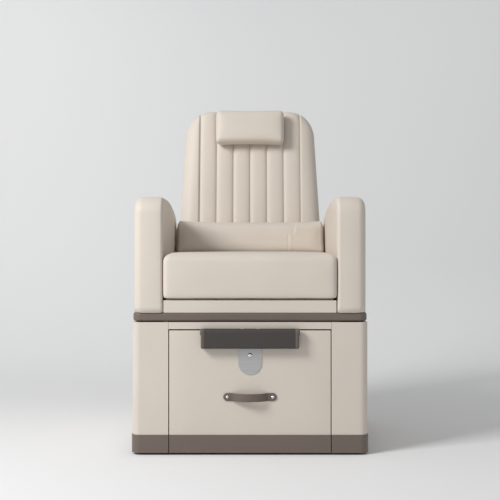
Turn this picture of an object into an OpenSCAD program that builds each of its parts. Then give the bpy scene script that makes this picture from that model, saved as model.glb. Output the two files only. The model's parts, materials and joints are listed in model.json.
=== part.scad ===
// Plumbed pedicure chair: an upholstered reclining seat on a cabinet whose drawer holds a foot basin.
// Sizes are in millimetres. X runs across the chair, +Y to its rear and +Z up.

/* [Seat] */
// Width of the seat cushion
seat_w = 576; // [480:1:690]
// Depth of the seat cushion from front to rear
seat_d = 516; // [425:1:620]
// Height of the seat cushion at its sides
seat_h = 158; // [130:1:190]
// Extra height of the seat cushion at the middle of its crown
seat_crown = 6; // [0:0.5:12]
// Radius of the seat cushion's upper edges
seat_edge_r = 38; // [28:1:48]
// Radius of the seat cushion's lower edges
seat_foot_r = 12; // [10:0.5:15]
// How far the seat cushion's front swells past its edge
seat_swell = 5; // [0:0.5:10]
// Height of the rail under the seat cushion
seat_rail_h = 41; // [32:1:52]
// Shadow gap between the seat rail and the cushion
seat_gap = 3; // [2:0.5:6]

/* [Arms] */
// Thickness of an arm
arm_t = 92; // [74:1:112]
// Height of an arm above the platform
arm_h = 385; // [310:1:460]
// Length of an arm
arm_l = 655; // [540:1:690]
// Radius of an arm's upper front corner, seen from the side
arm_front_r = 56; // [40:1:70]
// Length of the level part of an arm's top, before it falls to the rear
arm_level_l = 180; // [150:1:215]
// Radius of the long curve in which an arm's top falls to the rear
arm_top_r = 1900; // [1600:10:2300]
// Radius of an arm's upper rear corner, seen from the side
arm_rear_r = 70; // [58:1:84]
// Radius of an arm's edges on its outer side
arm_edge_r = 28; // [22:0.5:34]
// Radius of an arm's edges on the seat's side
arm_inner_r = 12; // [10:0.5:15]
// Gap between the seat cushion and an arm
arm_gap = 4; // [3:0.5:8]
// Thickness of the board inside an arm
arm_core_t = 36; // [28:1:44]

/* [Platform] */
// Thickness of the dark platform
platform_t = 27; // [22:1:33]
// Radius of the platform's long edges
platform_edge_r = 6.5; // [4:0.5:9]
// Height of the shadow gap under the platform
shadow_gap = 4; // [3:0.5:6]

/* [Base] */
// Height of the side casings above the plinth
casing_h = 372.5; // [340:0.5:440]
// Thickness of the casing, carcass and plinth boards
board_t = 18; // [15:1:22]
// Radius of the base's outer corners in plan
corner_r = 27; // [20:1:34]
// Width of a side casing's front face
stile_w = 120.7; // [100:0.1:143]
// Height of the plinth
plinth_h = 60.5; // [50:0.5:72]
// How far the plinth stands proud of the casings
plinth_lip = 2.5; // [1:0.5:5]
// Clearance between the plinth and the floor
floor_gap = 5; // [4:0.5:8]
// Diameter of a levelling foot
foot_d = 45; // [36:1:54]
// Height of the top rail above the drawer
top_rail_h = 23; // [18:1:28]
// Distance from the recline pivot to the rear of the base
rear_margin = 60; // [52:1:80]

/* [Drawer] */
// Seam between the drawer front and the casings
drawer_seam = 2.5; // [1.5:0.5:4]
// Gap between the drawer front and the top rail
drawer_top_gap = 4; // [2:0.5:6]
// Thickness of the drawer's inner boards
drawer_wall = 15; // [12:1:18]
// Height of the drawer's inner boards
drawer_box_h = 220; // [185:1:250]
// Length of the runners
runner_l = 520; // [435:1:560]
// Height of the runners
runner_h = 45; // [38:1:54]
// Side space that a runner takes
runner_t = 12.7; // [11:0.1:15]

/* [Basin] */
// Thickness of the basin's wall
basin_wall = 5; // [4:0.5:6]
// Depth of the ledge behind the basin that carries the tap
tap_deck_d = 96; // [80:1:115]
// Diameter of the basin's waste hole
waste_hole_d = 46; // [40:1:54]

/* [Tap] */
// Diameter of the tap's body
tap_d = 42; // [36:1:50]
// Reach of the spout from the tap's axis
spout_l = 130; // [108:1:150]
// Length of the tap's lever
lever_l = 78; // [65:1:92]

/* [Footrest] */
// Length of the footrest's padded bar
footrest_w = 297; // [250:1:350]
// Thickness of the footrest's bar
footrest_t = 26; // [22:1:31]
// Length of the bar below its hinge axis
footrest_drop = 52.5; // [44:0.5:62]
// Width of each end cap
end_cap_w = 12.8; // [10.8:0.1:15.2]
// Diameter of the footrest's shaft
shaft_d = 12; // [10:0.5:14]
// Width of the steel tongue plate
tongue_w = 77; // [66:1:92]
// Height of the hinge axis above the tongue plate's lower tip
tongue_drop = 140.5; // [117:0.5:167]
// Thickness of the tongue plate
tongue_t = 2.5; // [2:0.5:4]

/* [Strap handle] */
// Distance between the strap's screws
strap_pitch = 150; // [125:1:180]
// Width of the strap
strap_w = 26.5; // [22:0.5:32]
// How far the strap bows out from the drawer
strap_bow = 26; // [22:1:31]
// Thickness of the strap
strap_t = 3.5; // [3:0.5:4.5]
// Height of the strap above the plinth
strap_rise = 126; // [100:1:150]

/* [Backrest] */
// Angle that the backrest leans back at rest
lean = 12.4; // [8:0.1:16]
// Length of the backrest from its lower to its upper edge
back_l = 704; // [590:1:840]
// How far the back's foot is set in from the seat cushion's sides
back_side_inset = 1; // [0:0.5:4]
// How far each side of the back leans in by its upper corners
back_taper = 29.5; // [24:0.5:36]
// Depth of the back cushion over its channels
back_t = 50; // [42:1:60]
// Depth of the sewn seams between the channels
seam_depth = 9; // [6:0.5:12]
// Width of a side bolster at the top
bolster_w = 57; // [48:1:68]
// Height of the backrest's rounded upper corners
back_corner_h = 110; // [90:1:130]
// How far the backrest's upper corners draw in
back_corner_in = 88; // [74:1:100]
// Depth of the shell behind the back board
shell_d = 40; // [34:1:48]
// Wall of the shell
shell_wall = 4; // [3:0.5:6]

/* [Pillows] */
// Width of the head pillow
head_w = 273; // [227:1:322]
// Height of the head pillow
head_h = 134; // [112:1:158]
// Thickness of the head pillow
head_t = 58; // [48:1:68]
// Distance that the head pillow can be lowered
head_travel = 60; // [48:1:72]
// Width of the lumbar pillow
lumbar_w = 575; // [480:1:579]
// Height of the lumbar pillow
lumbar_h = 147; // [125:1:168]
// Thickness of the lumbar pillow
lumbar_t = 104; // [86:1:120]

/* [Plumbing] */
// Outer diameter of a water inlet's thread
inlet_d = 20.955; // [17:0.005:26.5]
// Distance between the two water inlets
inlet_pitch = 120; // [100:1:145]
// Outer diameter of the waste outlet
outlet_d = 40; // [32:1:50]

/* [Hidden] */
$fn = 48;
// Clearance between a pin and its bore
pin_fit = 0.05;
// Clearance round a bolt or pipe that passes through a board
hole_fit = 0.25;
// Distance kept between sliding or soft neighbours
slip = 0.3;
// How far a cut runs past the face that it opens
over = 1;

// Heights, from the floor up
foot_pad_h = 12;
plinth_top = floor_gap + plinth_h;
casing_top = plinth_top + casing_h;
platform_z = casing_top + shadow_gap;
seat_z = platform_z + platform_t;
seat_rail_top = seat_z + seat_rail_h;
cushion_z = seat_rail_top + seat_gap;
cushion_top = cushion_z + seat_h;
drawer_top = casing_top - top_rail_h - drawer_top_gap;

// Half widths, from the seat outwards
seat_half = seat_w / 2;
arm_in = seat_half + arm_gap;
arm_out = arm_in + arm_t;
platform_reveal = 4;
platform_half = arm_out + platform_reveal;
casing_reveal = 2.2;
base_half = platform_half + casing_reveal;
plinth_half = base_half + plinth_lip;
opening_half = base_half - stile_w;
drawer_half = opening_half - drawer_seam;
carcass_setback = 1.8;
carcass_in = opening_half + carcass_setback;
box_half = carcass_in - runner_t;
box_in = box_half - drawer_wall;

// Depths, from the front of the base to its rear
seat_front = -6;
seat_rear = seat_front + seat_d;
lumbar_room = 26;
pivot_y = seat_rear + lumbar_t + lumbar_room;
base_d = pivot_y + rear_margin;
deck_rear = pivot_y - 2 * arm_core_t;

// Recline pivot and the backrest's own frame, whose Z runs up the back
pivot_rise = 51;
pivot_z = seat_z + pivot_rise;
back_foot = 24;
back_top = back_foot + back_l;
back_low_half = seat_half - back_side_inset;
back_high_half = back_low_half - back_taper;
channels_per_side = 3;
channel_w = (back_high_half - bolster_w) / channels_per_side;
back_edge_r = 22;
shell_back = drawer_wall + shell_d;

// Strap over the top of the backrest, and the weight on its rear end
band_w = 120;
band_t = 2;
band_gap = 0.6;
band_end_room = 2;
band_front = back_t + band_gap;
band_rear = shell_back + band_gap;
band_top = back_top + band_gap;
weight_grip = 60;
weight_h = head_travel + weight_grip;
weight_wall = 10;
weight_room = 90;
weight_drop = head_travel + weight_room;
weight_low = back_top - weight_drop - weight_h;

// Footrest hinge
axis_room = 2;
footrest_r = footrest_t / 2;
axis_y = -(tongue_t + axis_room + footrest_r);
axis_fall = 5.5;
axis_z = drawer_top - axis_fall;
lug_r = 8.5;
lug_neck_half = 3.5;
lug_t = 8;
lug_x = 26;
lug_room = 0.6;
cap_dome_r = 14;
cap_dome_h = 4;

// Place of the front plane of the base, so that the part is centred on its origin
rear_reach = pivot_y + (band_rear + band_t) * cos(lean) + band_top * sin(lean);
front_reach = axis_y - footrest_r;
front_y = -(rear_reach + front_reach) / 2;

// Cabinet and drawer
floor_top = plinth_top;
floor_bottom = floor_top - board_t;
box_rise = 12;
box_floor_t = 12;
box_z = floor_top + box_rise;
box_top = box_z + drawer_box_h;
box_d = base_d - rear_margin;
runner_sheet = 1.5;
runner_setback = 7;
runner_y = board_t + runner_setback;
runner_z = box_z + drawer_box_h / 2;

// Basin
rim_t = 6;
rim_gap = 1.3;
rim_front_gap = 2;
rim_front = board_t + rim_front_gap;
rim_rear = box_d - rim_gap;
rim_top = box_top + rim_t;
// The tub's floor keeps clear of the trap, which keeps clear of the drawer's bottom
trap_h = 40;
trap_fall = 22;
trap_gap = 5;
tub_side_room = 8;
tub_front_room = 16;
tub_half = box_in - tub_side_room;
tub_front = rim_front + tub_front_room;
tub_rear = rim_rear - tap_deck_d;
tub_y = (tub_front + tub_rear) / 2;
tub_floor = box_z + box_floor_t + trap_gap + trap_h + trap_fall + basin_wall;
tub_draw = 30;
tub_corner_r = 70;
tub_foot_r = 26;
tap_y = (tub_rear + rim_rear) / 2;

// Waste and trap
waste_room = 1;
waste_wall = 3;
flange_w = 12;
flange_t = 3;
waste_r = waste_hole_d / 2 - waste_room;
waste_bore_r = waste_r - waste_wall;
flange_r = waste_r + flange_w;
stem_r = 4;
plug_t = 4;
plug_travel = 8;
trap_r = 38;
trap_wall = 3;
trap_top = tub_floor - basin_wall - trap_fall;
trap_pipe_l = tap_deck_d - 2 * trap_wall;
collar_wall = 8;
collar_r = waste_r + collar_wall;

// Tap
tap_r = tap_d / 2;
spigot_step = 6;
spigot_r = tap_r - spigot_step;
tap_body_h = 36;
spout_t = 18;
head_cap_h = 20;
lever_w = 14;
lever_t = 6;
lever_pin_r = 2.5;
ear_t = 3.5;
shank_r = 16;
shank_l = 42;

// Rear services
service_side_room = 65;
service_w = inlet_pitch + 2 * service_side_room;
service_h = 150;
service_t = 3;
service_rise = 110;
service_z = floor_top + service_rise;
window_lip = 16;
inlet_rise = 24;
outlet_fall = 26;

cream = "#D6CCBF";
taupe = "#6F6461";
charcoal = "#4D4948";
steel = "#A9A9A9";
board = "#C9AE86";

// Moves a piece from the front plane of the base to the part's own frame
module in_frame() {
    translate([0, front_y, 0]) children();
}

// Turns a piece from the backrest's own frame into the part's frame
module on_back() {
    in_frame() translate([0, pivot_y, pivot_z]) rotate([-lean, 0, 0]) children();
}

// A copy on each side of the chair
module both_sides() {
    children();
    mirror([1, 0, 0]) children();
}

// Lays a drawing of X and Z, seen from the front, from depth y_low to y_low + t
module front_slab(y_low, t) {
    translate([0, y_low + t, 0]) rotate([90, 0, 0]) linear_extrude(height = t) children();
}

// Lays a drawing of Y and Z, seen from the side, from x_low to x_low + t
module side_slab(x_low, t) {
    translate([x_low, 0, 0]) rotate([90, 0, 90]) linear_extrude(height = t) children();
}

// What a radius takes off a corner; in_x and in_y point from the corner into the drawing
module corner_waste(x, y, in_x, in_y, r) {
    difference() {
        translate([x + in_x * (r - over) / 2, y + in_y * (r - over) / 2])
            square(r + over, center = true);
        translate([x + in_x * r, y + in_y * r]) circle(r = r);
    }
}

// Rectangle with one radius at all corners, built from true arcs
module round_rect(x0, x1, y0, y1, r) {
    translate([x0 + r, y0]) square([x1 - x0 - 2 * r, y1 - y0]);
    translate([x0, y0 + r]) square([x1 - x0, y1 - y0 - 2 * r]);
    for (x = [x0 + r, x1 - r], y = [y0 + r, y1 - r]) translate([x, y]) circle(r = r);
}

// A closed solid through a list of outlines that all have the same, even number of points
module loft(rings) {
    n = len(rings[0]);
    m = len(rings);
    last = (m - 1) * n;
    walls = [
        for (i = [0 : m - 2], j = [0 : n - 1])
            let (k = (j + 1) % n, a = i * n, b = a + n)
            each [[a + j, b + j, b + k], [a + j, b + k, a + k]]
    ];
    first_cap = [
        for (j = [0 : n / 2 - 2]) each [[j, j + 1, n - 2 - j], [j, n - 2 - j, n - 1 - j]]
    ];
    last_cap = [
        for (j = [0 : n / 2 - 2])
            each [
                [last + j, last + n - 1 - j, last + n - 2 - j],
                [last + j, last + n - 2 - j, last + j + 1]
            ]
    ];
    polyhedron(points = [for (ring = rings) each ring], faces = concat(walls, first_cap, last_cap));
}

function blend(a, b, share) = a + (b - a) * share;
function power(v, e) = sign(v) * pow(abs(v), e);

// Quarter turn from the face of a rounded end, angle 90, to its side, angle 0
function end_back(r, angle) = r * (1 - sin(angle));
function end_in(r, angle) = r * (1 - cos(angle));
end_steps = [90, 68, 46, 24, 0];

// Plinth, casings and carcass

module base_outline(half, lip) {
    round_rect(-half, half, -lip, base_d + lip, corner_r + lip);
}

module base_ring(half, lip) {
    difference() {
        base_outline(half, lip);
        round_rect(
            board_t - half, half - board_t, board_t - lip, base_d + lip - board_t,
            corner_r + lip - board_t
        );
    }
}

// Stretch of the ring beside the drawer opening, on the +X side
module ring_side(half, lip) {
    intersection() {
        base_ring(half, lip);
        translate([opening_half, -lip - over]) square([half, base_d + 2 * (lip + over)]);
    }
}

module plinth_side() {
    in_frame() translate([0, 0, floor_gap])
        linear_extrude(height = plinth_h) ring_side(plinth_half, plinth_lip);
}

module plinth_left() {
    color(taupe) mirror([1, 0, 0]) plinth_side();
}

module plinth_right() {
    color(taupe) plinth_side();
}

module plinth_rear() {
    color(taupe) in_frame()
        translate([-opening_half, base_d + plinth_lip - board_t, floor_gap])
            cube([2 * opening_half, board_t, plinth_h]);
}

module casing_side() {
    in_frame() translate([0, 0, plinth_top])
        linear_extrude(height = casing_h) ring_side(base_half, 0);
}

module side_casing_left() {
    color(cream) mirror([1, 0, 0]) casing_side();
}

module side_casing_right() {
    color(cream) casing_side();
}

foot_inset = 48;
foot_stud_r = 5;
foot_nut_h = 8;

module at_feet() {
    front = foot_inset + board_t;
    for (x = [foot_inset - base_half, base_half - foot_inset], y = [front, base_d - front])
        translate([x, y, 0]) children();
}

module levelling_foot() {
    rotate_extrude() polygon([
        [0, 0], [foot_d / 2 - floor_gap / 2, 0], [foot_d / 2, floor_gap / 2],
        [foot_d / 2, floor_gap], [2 * foot_stud_r, foot_pad_h], [0, foot_pad_h]
    ]);
    translate([0, 0, foot_pad_h - over])
        cylinder(r = foot_stud_r, h = floor_top + foot_nut_h + over - foot_pad_h);
    translate([0, 0, floor_bottom - foot_nut_h])
        cylinder(r = 2 * foot_stud_r, h = foot_nut_h, $fn = 6);
}

module levelling_feet() {
    color(charcoal) in_frame() at_feet() levelling_foot();
}

module bottom_board() {
    half = plinth_half - board_t;
    front = board_t - plinth_lip;
    color(board) in_frame() difference() {
        translate([0, 0, floor_bottom]) linear_extrude(height = board_t) difference() {
            round_rect(
                -half, half, front, base_d + plinth_lip - board_t,
                corner_r + plinth_lip - board_t
            );
            translate([-opening_half, front - over]) square([2 * opening_half, 2 * over]);
        }
        at_feet() cylinder(r = foot_stud_r + hole_fit, h = floor_top + over);
    }
}

module carcass_side() {
    in_frame() translate([carcass_in, board_t, floor_top])
        cube([board_t, base_d - 2 * board_t, platform_z - floor_top]);
}

module carcass_side_left() {
    color(board) mirror([1, 0, 0]) carcass_side();
}

module carcass_side_right() {
    color(board) carcass_side();
}

rail_seam = 0.5;

module top_rail() {
    half = opening_half - rail_seam;
    color(cream) in_frame() union() {
        translate([-half, 0, casing_top - top_rail_h]) cube([2 * half, board_t, top_rail_h]);
        translate([-carcass_in, board_t, casing_top - top_rail_h])
            cube([2 * carcass_in, board_t, top_rail_h]);
    }
}

// Rear panel and the services behind it

module service_window(lip) {
    translate([lip - service_w / 2, service_z + lip - service_h / 2])
        square([service_w - 2 * lip, service_h - 2 * lip]);
}

module rear_panel() {
    half = opening_half - rail_seam;
    color(cream) in_frame() front_slab(base_d - board_t, board_t) difference() {
        translate([-half, plinth_top]) square([2 * half, casing_h]);
        service_window(window_lip);
    }
}

module at_inlets() {
    for (x = [-inlet_pitch / 2, inlet_pitch / 2])
        translate([x, base_d, service_z + inlet_rise]) rotate([-90, 0, 0]) children();
}

module at_outlet() {
    translate([0, base_d, service_z - outlet_fall]) rotate([-90, 0, 0]) children();
}

inlet_r = inlet_d / 2;
inlet_bore_r = inlet_r - 4;
inlet_flange_t = 4;
inlet_thread_l = 16;
inlet_tail_l = 24;
outlet_r = outlet_d / 2;
outlet_wall = 3;
outlet_l = 34;
outlet_tail_l = 26;

module service_plate() {
    color(steel) in_frame() difference() {
        front_slab(base_d, service_t) service_window(0);
        at_inlets() cylinder(r = inlet_r + hole_fit, h = 2 * over + 2 * service_t, center = true);
        at_outlet() cylinder(r = outlet_r + hole_fit, h = 2 * over + 2 * service_t, center = true);
    }
}

module water_inlets() {
    color("#B9B9B9") in_frame() at_inlets() rotate_extrude() polygon([
        [inlet_bore_r, -inlet_tail_l], [inlet_r - slip, -inlet_tail_l],
        [inlet_r - slip, service_t], [inlet_r + inlet_flange_t, service_t],
        [inlet_r + inlet_flange_t, service_t + inlet_flange_t],
        [inlet_r, service_t + inlet_flange_t],
        [inlet_r, service_t + inlet_flange_t + inlet_thread_l],
        [inlet_bore_r, service_t + inlet_flange_t + inlet_thread_l]
    ]);
}

module inlet_nuts() {
    nut_h = inlet_flange_t + service_t;
    color("#B9B9B9") in_frame() at_inlets() translate([0, 0, -nut_h]) difference() {
        cylinder(r = inlet_r + inlet_flange_t + service_t, h = nut_h, $fn = 6);
        translate([0, 0, -over]) cylinder(r = inlet_r, h = nut_h + 2 * over);
    }
}

module waste_outlet() {
    inner_r = outlet_r - outlet_wall;
    color("#8C8C8C") in_frame() at_outlet() rotate_extrude() polygon([
        [inner_r, -outlet_tail_l], [outlet_r, -outlet_tail_l], [outlet_r, service_t],
        [outlet_r + 2 * outlet_wall, service_t],
        [outlet_r + 2 * outlet_wall, service_t + outlet_wall],
        [outlet_r, service_t + outlet_wall], [outlet_r, service_t + outlet_l],
        [inner_r, service_t + outlet_l]
    ]);
}

// Platform, seat frame and seat cushion

spacer_inset = 10;
spacer_w = 20;

module platform_spacer() {
    half = platform_half - spacer_inset;
    side_l = base_d - 2 * spacer_inset - 2 * spacer_w;
    color(charcoal) in_frame() translate([0, 0, casing_top]) {
        for (y = [spacer_inset, base_d - spacer_inset - spacer_w])
            translate([-carcass_in, y, 0]) cube([2 * carcass_in, spacer_w / 2, shadow_gap]);
        for (x = [-half, half - spacer_w])
            translate([x, spacer_inset + spacer_w, 0]) cube([spacer_w, side_l, shadow_gap]);
    }
}

// Flat board with rounded plan corners and rounded long edges, built from true arcs
module soft_board(half, y0, y1, t, plan_r, edge_r) {
    translate([plan_r - half, 0, 0])
        side_slab(0, 2 * (half - plan_r)) round_rect(y0, y1, 0, t, edge_r);
    front_slab(y0 + plan_r, y1 - y0 - 2 * plan_r) round_rect(-half, half, 0, t, edge_r);
    for (x = [plan_r - half, half - plan_r], y = [y0 + plan_r, y1 - plan_r])
        translate([x, y, 0]) rotate_extrude() intersection() {
            round_rect(-plan_r, plan_r, 0, t, edge_r);
            square([plan_r, t]);
        }
}

bolt_r = 4;
bolt_head_h = 5;
bolt_grip = 60;

module at_arm_bolts() {
    for (x = [-1, 1], y = [arm_front_r + arm_core_t + board_t, arm_core_rear - 2 * arm_core_t])
        translate([x * (arm_in + arm_t / 2), y, platform_z]) children();
}

module platform() {
    color(taupe) in_frame() difference() {
        translate([0, 0, platform_z]) soft_board(
            platform_half, casing_reveal, base_d - casing_reveal, platform_t, corner_r, platform_edge_r
        );
        at_arm_bolts() translate([0, 0, -over])
            cylinder(r = bolt_r + hole_fit, h = platform_t + 2 * over);
    }
}

module arm_bolts() {
    color(steel) in_frame() at_arm_bolts() {
        translate([0, 0, -bolt_head_h / 2])
            cylinder(r = bolt_r, h = platform_t + bolt_grip + bolt_head_h / 2);
        translate([0, 0, -bolt_head_h]) cylinder(r = 2 * bolt_r, h = bolt_head_h, $fn = 6);
    }
}

seat_rail_t = 18;
seat_rail_front = 4;
seat_rail_side_gap = 2;
deck_t = 15;
deck_setback = 10;

module seat_rail() {
    half = seat_half - seat_rail_side_gap;
    color(cream) in_frame() translate([0, 0, seat_z]) linear_extrude(height = seat_rail_h) {
        translate([-half, seat_rail_front]) square([2 * half, seat_rail_t]);
        for (x = [-half, half - seat_rail_t])
            translate([x, seat_rail_front]) square([seat_rail_t, deck_rear - seat_rail_front]);
    }
}

module seat_deck() {
    half = seat_half - seat_rail_side_gap;
    low_half = half - seat_rail_t;
    low_front = seat_rail_front + seat_rail_t;
    color(board) in_frame() {
        translate([-low_half, low_front, cushion_z - deck_t])
            cube([2 * low_half, deck_rear - low_front, deck_t]);
        translate([deck_setback - half, seat_rail_front + deck_setback, seat_rail_top])
            cube([2 * (half - deck_setback), deck_rear - seat_rail_front - deck_setback, seat_gap]);
    }
}

// Right half of the seat cushion's outline across the chair, from its lower to its upper middle
function seat_half_outline(half, low, high, low_r, high_r) = let (
    turn = [0, 18, 36, 54, 72, 90],
    shares = [0, 0.22, 0.44, 0.66, 0.86]
) [
    for (s = shares) [s * (half - low_r), low],
    for (a = turn) [half - low_r + low_r * sin(a), low + low_r - low_r * cos(a)],
    [half, (low + high) / 2],
    for (a = turn) [half - high_r + high_r * cos(a), high - high_r + high_r * sin(a)],
    for (i = [4 : -1 : 0]) [shares[i] * (half - high_r), high]
];

// One outline of the seat cushion at depth y, drawn in by in_share of its end radii
function seat_ring(y, in_share, crown) = let (
    half = seat_half - seat_side_swell - in_share * seat_foot_r,
    low = cushion_z + in_share * seat_foot_r,
    high = cushion_top - in_share * seat_edge_r,
    mid = (low + high) / 2,
    right = seat_half_outline(half, low, high, seat_foot_r, seat_edge_r),
    left = [for (i = [len(right) - 2 : -1 : 1]) [-right[i][0], right[i][1]]],
    shape = concat(right, left),
    n = len(shape)
) [
    for (i = [0 : n - 1]) let (
        p = shape[(i + n / 4) % n],
        u = p[0] / half,
        v = (p[1] - mid) / (high - mid),
        rise = v > 0 ? v * v : 0
    ) [
        p[0] + seat_side_swell * u * (1 - v * v),
        y,
        p[1] + crown * (1 - u * u) * rise
    ]
];

// The cushion's front face, shrunk about its middle and swollen forward
function seat_face(ring, share) = let (mid = (cushion_z + cushion_top) / 2 - seat_foot_r / 2) [
    for (p = ring)
        [p[0] * share, p[1] - seat_swell * (1 - share * share), blend(mid, p[2], share)]
];

seat_side_swell = 2;
seat_steps = [0.14, 0.28, 0.42, 0.58, 0.72, 0.86];

module seat_cushion() {
    front_ring = seat_ring(seat_front, 1, 0);
    rings = [
        for (a = end_steps) seat_ring(seat_rear - end_back(seat_edge_r, a), end_in(1, a), 0),
        for (i = [5 : -1 : 0])
            seat_ring(
                blend(seat_front, seat_rear, seat_steps[i]), 0,
                seat_crown * (1 - pow(2 * seat_steps[i] - 1, 4))
            ),
        for (i = [4 : -1 : 1])
            seat_ring(seat_front + end_back(seat_edge_r, end_steps[i]), end_in(1, end_steps[i]), 0),
        front_ring,
        seat_face(front_ring, 0.85),
        seat_face(front_ring, 0.55)
    ];
    color(cream) in_frame() loft(rings);
}

// Arms

arm_side_inset = 40;

// Fall of an arm's top at y
function arm_fall(y) = pow(max(0, y - arm_level_l), 2) / (2 * arm_top_r);

// Outline of an arm seen from the side, drawn in by inset, at x
function arm_ring(x, inset) = let (
    turn = atan((arm_l - arm_rear_r - arm_level_l) / arm_top_r),
    join_y = arm_l - arm_rear_r + arm_rear_r * sin(turn),
    rear_z = seat_z + arm_h - arm_fall(join_y) - arm_rear_r * cos(turn),
    rear_r = arm_rear_r - inset,
    front_r = arm_front_r - inset,
    top_z = seat_z + arm_h
) [
    [x, arm_l - inset, seat_z],
    for (i = [0 : 5]) let (a = (90 - turn) * i / 5)
        [x, arm_l - arm_rear_r + rear_r * cos(a), rear_z + rear_r * sin(a)],
    for (s = [0.75, 0.5, 0.25]) let (y = blend(arm_level_l, join_y, s))
        [x, y, top_z - inset - arm_fall(y)],
    [x, arm_level_l, top_z - inset],
    for (i = [0 : 5]) let (a = 90 + 18 * i)
        [x, arm_front_r + front_r * cos(a), top_z - arm_front_r + front_r * sin(a)],
    [x, inset, seat_z]
];

arm_core_rear = arm_l - arm_side_inset - arm_rear_r / 2;

module arm_core() {
    translate([arm_in + (arm_t - arm_core_t) / 2, arm_side_inset, seat_z])
        cube([arm_core_t, arm_core_rear - arm_side_inset, arm_h - 2 * arm_front_r]);
}

module arm_cores() {
    color(board) in_frame() both_sides() difference() {
        arm_core();
        at_arm_bolts() cylinder(r = bolt_r + hole_fit, h = platform_t + bolt_grip + over);
    }
}

module arm_side() {
    in_frame() difference() {
        loft([
            for (a = [90, 60, 30, 0])
                arm_ring(arm_in + end_back(arm_inner_r, a), end_in(arm_inner_r, a)),
            for (a = [0, 22, 45, 68, 90])
                arm_ring(arm_out - end_back(arm_edge_r, a), end_in(arm_edge_r, a))
        ]);
        arm_core();
    }
}

module arm_left() {
    color(cream) mirror([1, 0, 0]) arm_side();
}

module arm_right() {
    color(cream) arm_side();
}

// Recliner

bracket_t = 6;
bracket_x = back_high_half - bracket_t;
bracket_foot_w = 60;
bracket_foot_t = 5;
bracket_foot_in = 34;
hinge_r = 18;
hinge_pin_r = 6;
hinge_gap = 0.5;
leaf_t = 5;
leaf_l = 200;
leaf_w = 30;
pin_head_r = 9;
pin_head_t = 3;

module recliner_bracket() {
    half = bracket_foot_w / 2;
    translate([0, pivot_y, seat_z]) difference() {
        union() {
            side_slab(bracket_x, bracket_t) {
                polygon([
                    [-half, 0], [half, 0], [half, bracket_foot_t],
                    [hinge_r, pivot_rise], [-hinge_r, pivot_rise], [-half, bracket_foot_t]
                ]);
                translate([0, pivot_rise]) circle(r = hinge_r);
            }
            translate([bracket_x - bracket_foot_in, -half, 0])
                cube([bracket_foot_in, bracket_foot_w, bracket_foot_t]);
        }
        translate([bracket_x - over, 0, pivot_rise]) rotate([0, 90, 0])
            cylinder(r = hinge_pin_r + pin_fit, h = bracket_t + 2 * over);
    }
}

module recliner_brackets() {
    color(steel) in_frame() both_sides() recliner_bracket();
}

leaf_x = bracket_x - hinge_gap - leaf_t;

module back_leaf() {
    difference() {
        side_slab(leaf_x, leaf_t) {
            circle(r = hinge_r);
            polygon([
                [0, hinge_r], [-hinge_r, 0], [hinge_r, 0], [drawer_wall + leaf_w, 3 * hinge_r],
                [drawer_wall + leaf_w, leaf_l], [drawer_wall, leaf_l], [drawer_wall, back_foot - slip]
            ]);
        }
        translate([leaf_x - over, 0, 0]) rotate([0, 90, 0])
            cylinder(r = hinge_pin_r + pin_fit, h = leaf_t + 2 * over);
    }
    translate([leaf_x - leaf_w, drawer_wall, 3 * hinge_r])
        cube([leaf_w, leaf_t, leaf_l - 3 * hinge_r]);
}

module back_leaves() {
    color(steel) on_back() both_sides() back_leaf();
}

module hinge_pins() {
    x_in = leaf_x - pin_head_t;
    x_out = bracket_x + bracket_t + hinge_gap;
    color(steel) on_back() both_sides() rotate([0, 90, 0]) {
        translate([0, 0, x_in]) cylinder(r = pin_head_r, h = pin_head_t);
        translate([0, 0, x_in]) cylinder(r = hinge_pin_r, h = x_out + pin_head_t - x_in);
        translate([0, 0, x_out]) cylinder(r = pin_head_r, h = pin_head_t);
    }
}

// Backrest, in its own frame

// Half width of the back at height s: a straight taper and an elliptical upper corner
function back_half(s) = let (
    corner_z = back_top - back_corner_h,
    taper = blend(back_low_half, back_high_half, (s - back_foot) / (corner_z - back_foot)),
    high = s > corner_z ? back_high_half : taper,
    t = min(1, max(0, (s - corner_z) / back_corner_h))
) high - back_corner_in * (1 - sqrt(1 - t * t));

corner_shares = [0, 0.25, 0.45, 0.62, 0.76, 0.87, 0.95, 0.99, 1];

// Outline of the backrest seen from the front, drawn in by inset
module back_outline(inset) {
    corner_z = back_top - back_corner_h;
    right = [
        [back_half(back_foot) - inset, back_foot],
        for (t = corner_shares)
            [back_half(corner_z + t * back_corner_h) - inset, corner_z + t * (back_corner_h - inset)]
    ];
    polygon(concat(right, [for (i = [len(right) - 1 : -1 : 0]) [-right[i][0], right[i][1]]]));
}

// Front of the back cushion's right half at height s, from its middle seam to its side
function back_front(s, deep) = let (
    half = back_half(s),
    last = channels_per_side - 1,
    seam_x = min(channels_per_side * channel_w, half - channel_w / 4),
    last_w = seam_x - last * channel_w,
    room = half - seam_x,
    edge_r = min(back_edge_r, 0.7 * room),
    valley = deep - seam_depth,
    crown_shares = [0, 0.75, 1, 0.75],
    along_shares = [0, 0.14, 0.5, 0.86]
) [
    for (i = [0 : last], k = [0 : 3]) let (w = i < last ? channel_w : last_w)
        [i * channel_w + along_shares[k] * w, -(valley + seam_depth * crown_shares[k])],
    [seam_x, -valley],
    [seam_x + 0.08 * room, -(valley + 0.75 * seam_depth)],
    for (a = [90, 60, 30, 0])
        [half - edge_r + edge_r * cos(a), -(deep - edge_r + edge_r * sin(a))]
];

function back_ring(s, deep) = let (
    right = back_front(s, deep),
    front = [
        for (i = [len(right) - 1 : -1 : 1]) [-right[i][0], right[i][1]],
        for (p = right) p
    ]
) [
    for (i = [len(front) - 1 : -1 : 0]) [front[i][0], 0, s],
    for (p = front) [p[0], p[1], s]
];

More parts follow.
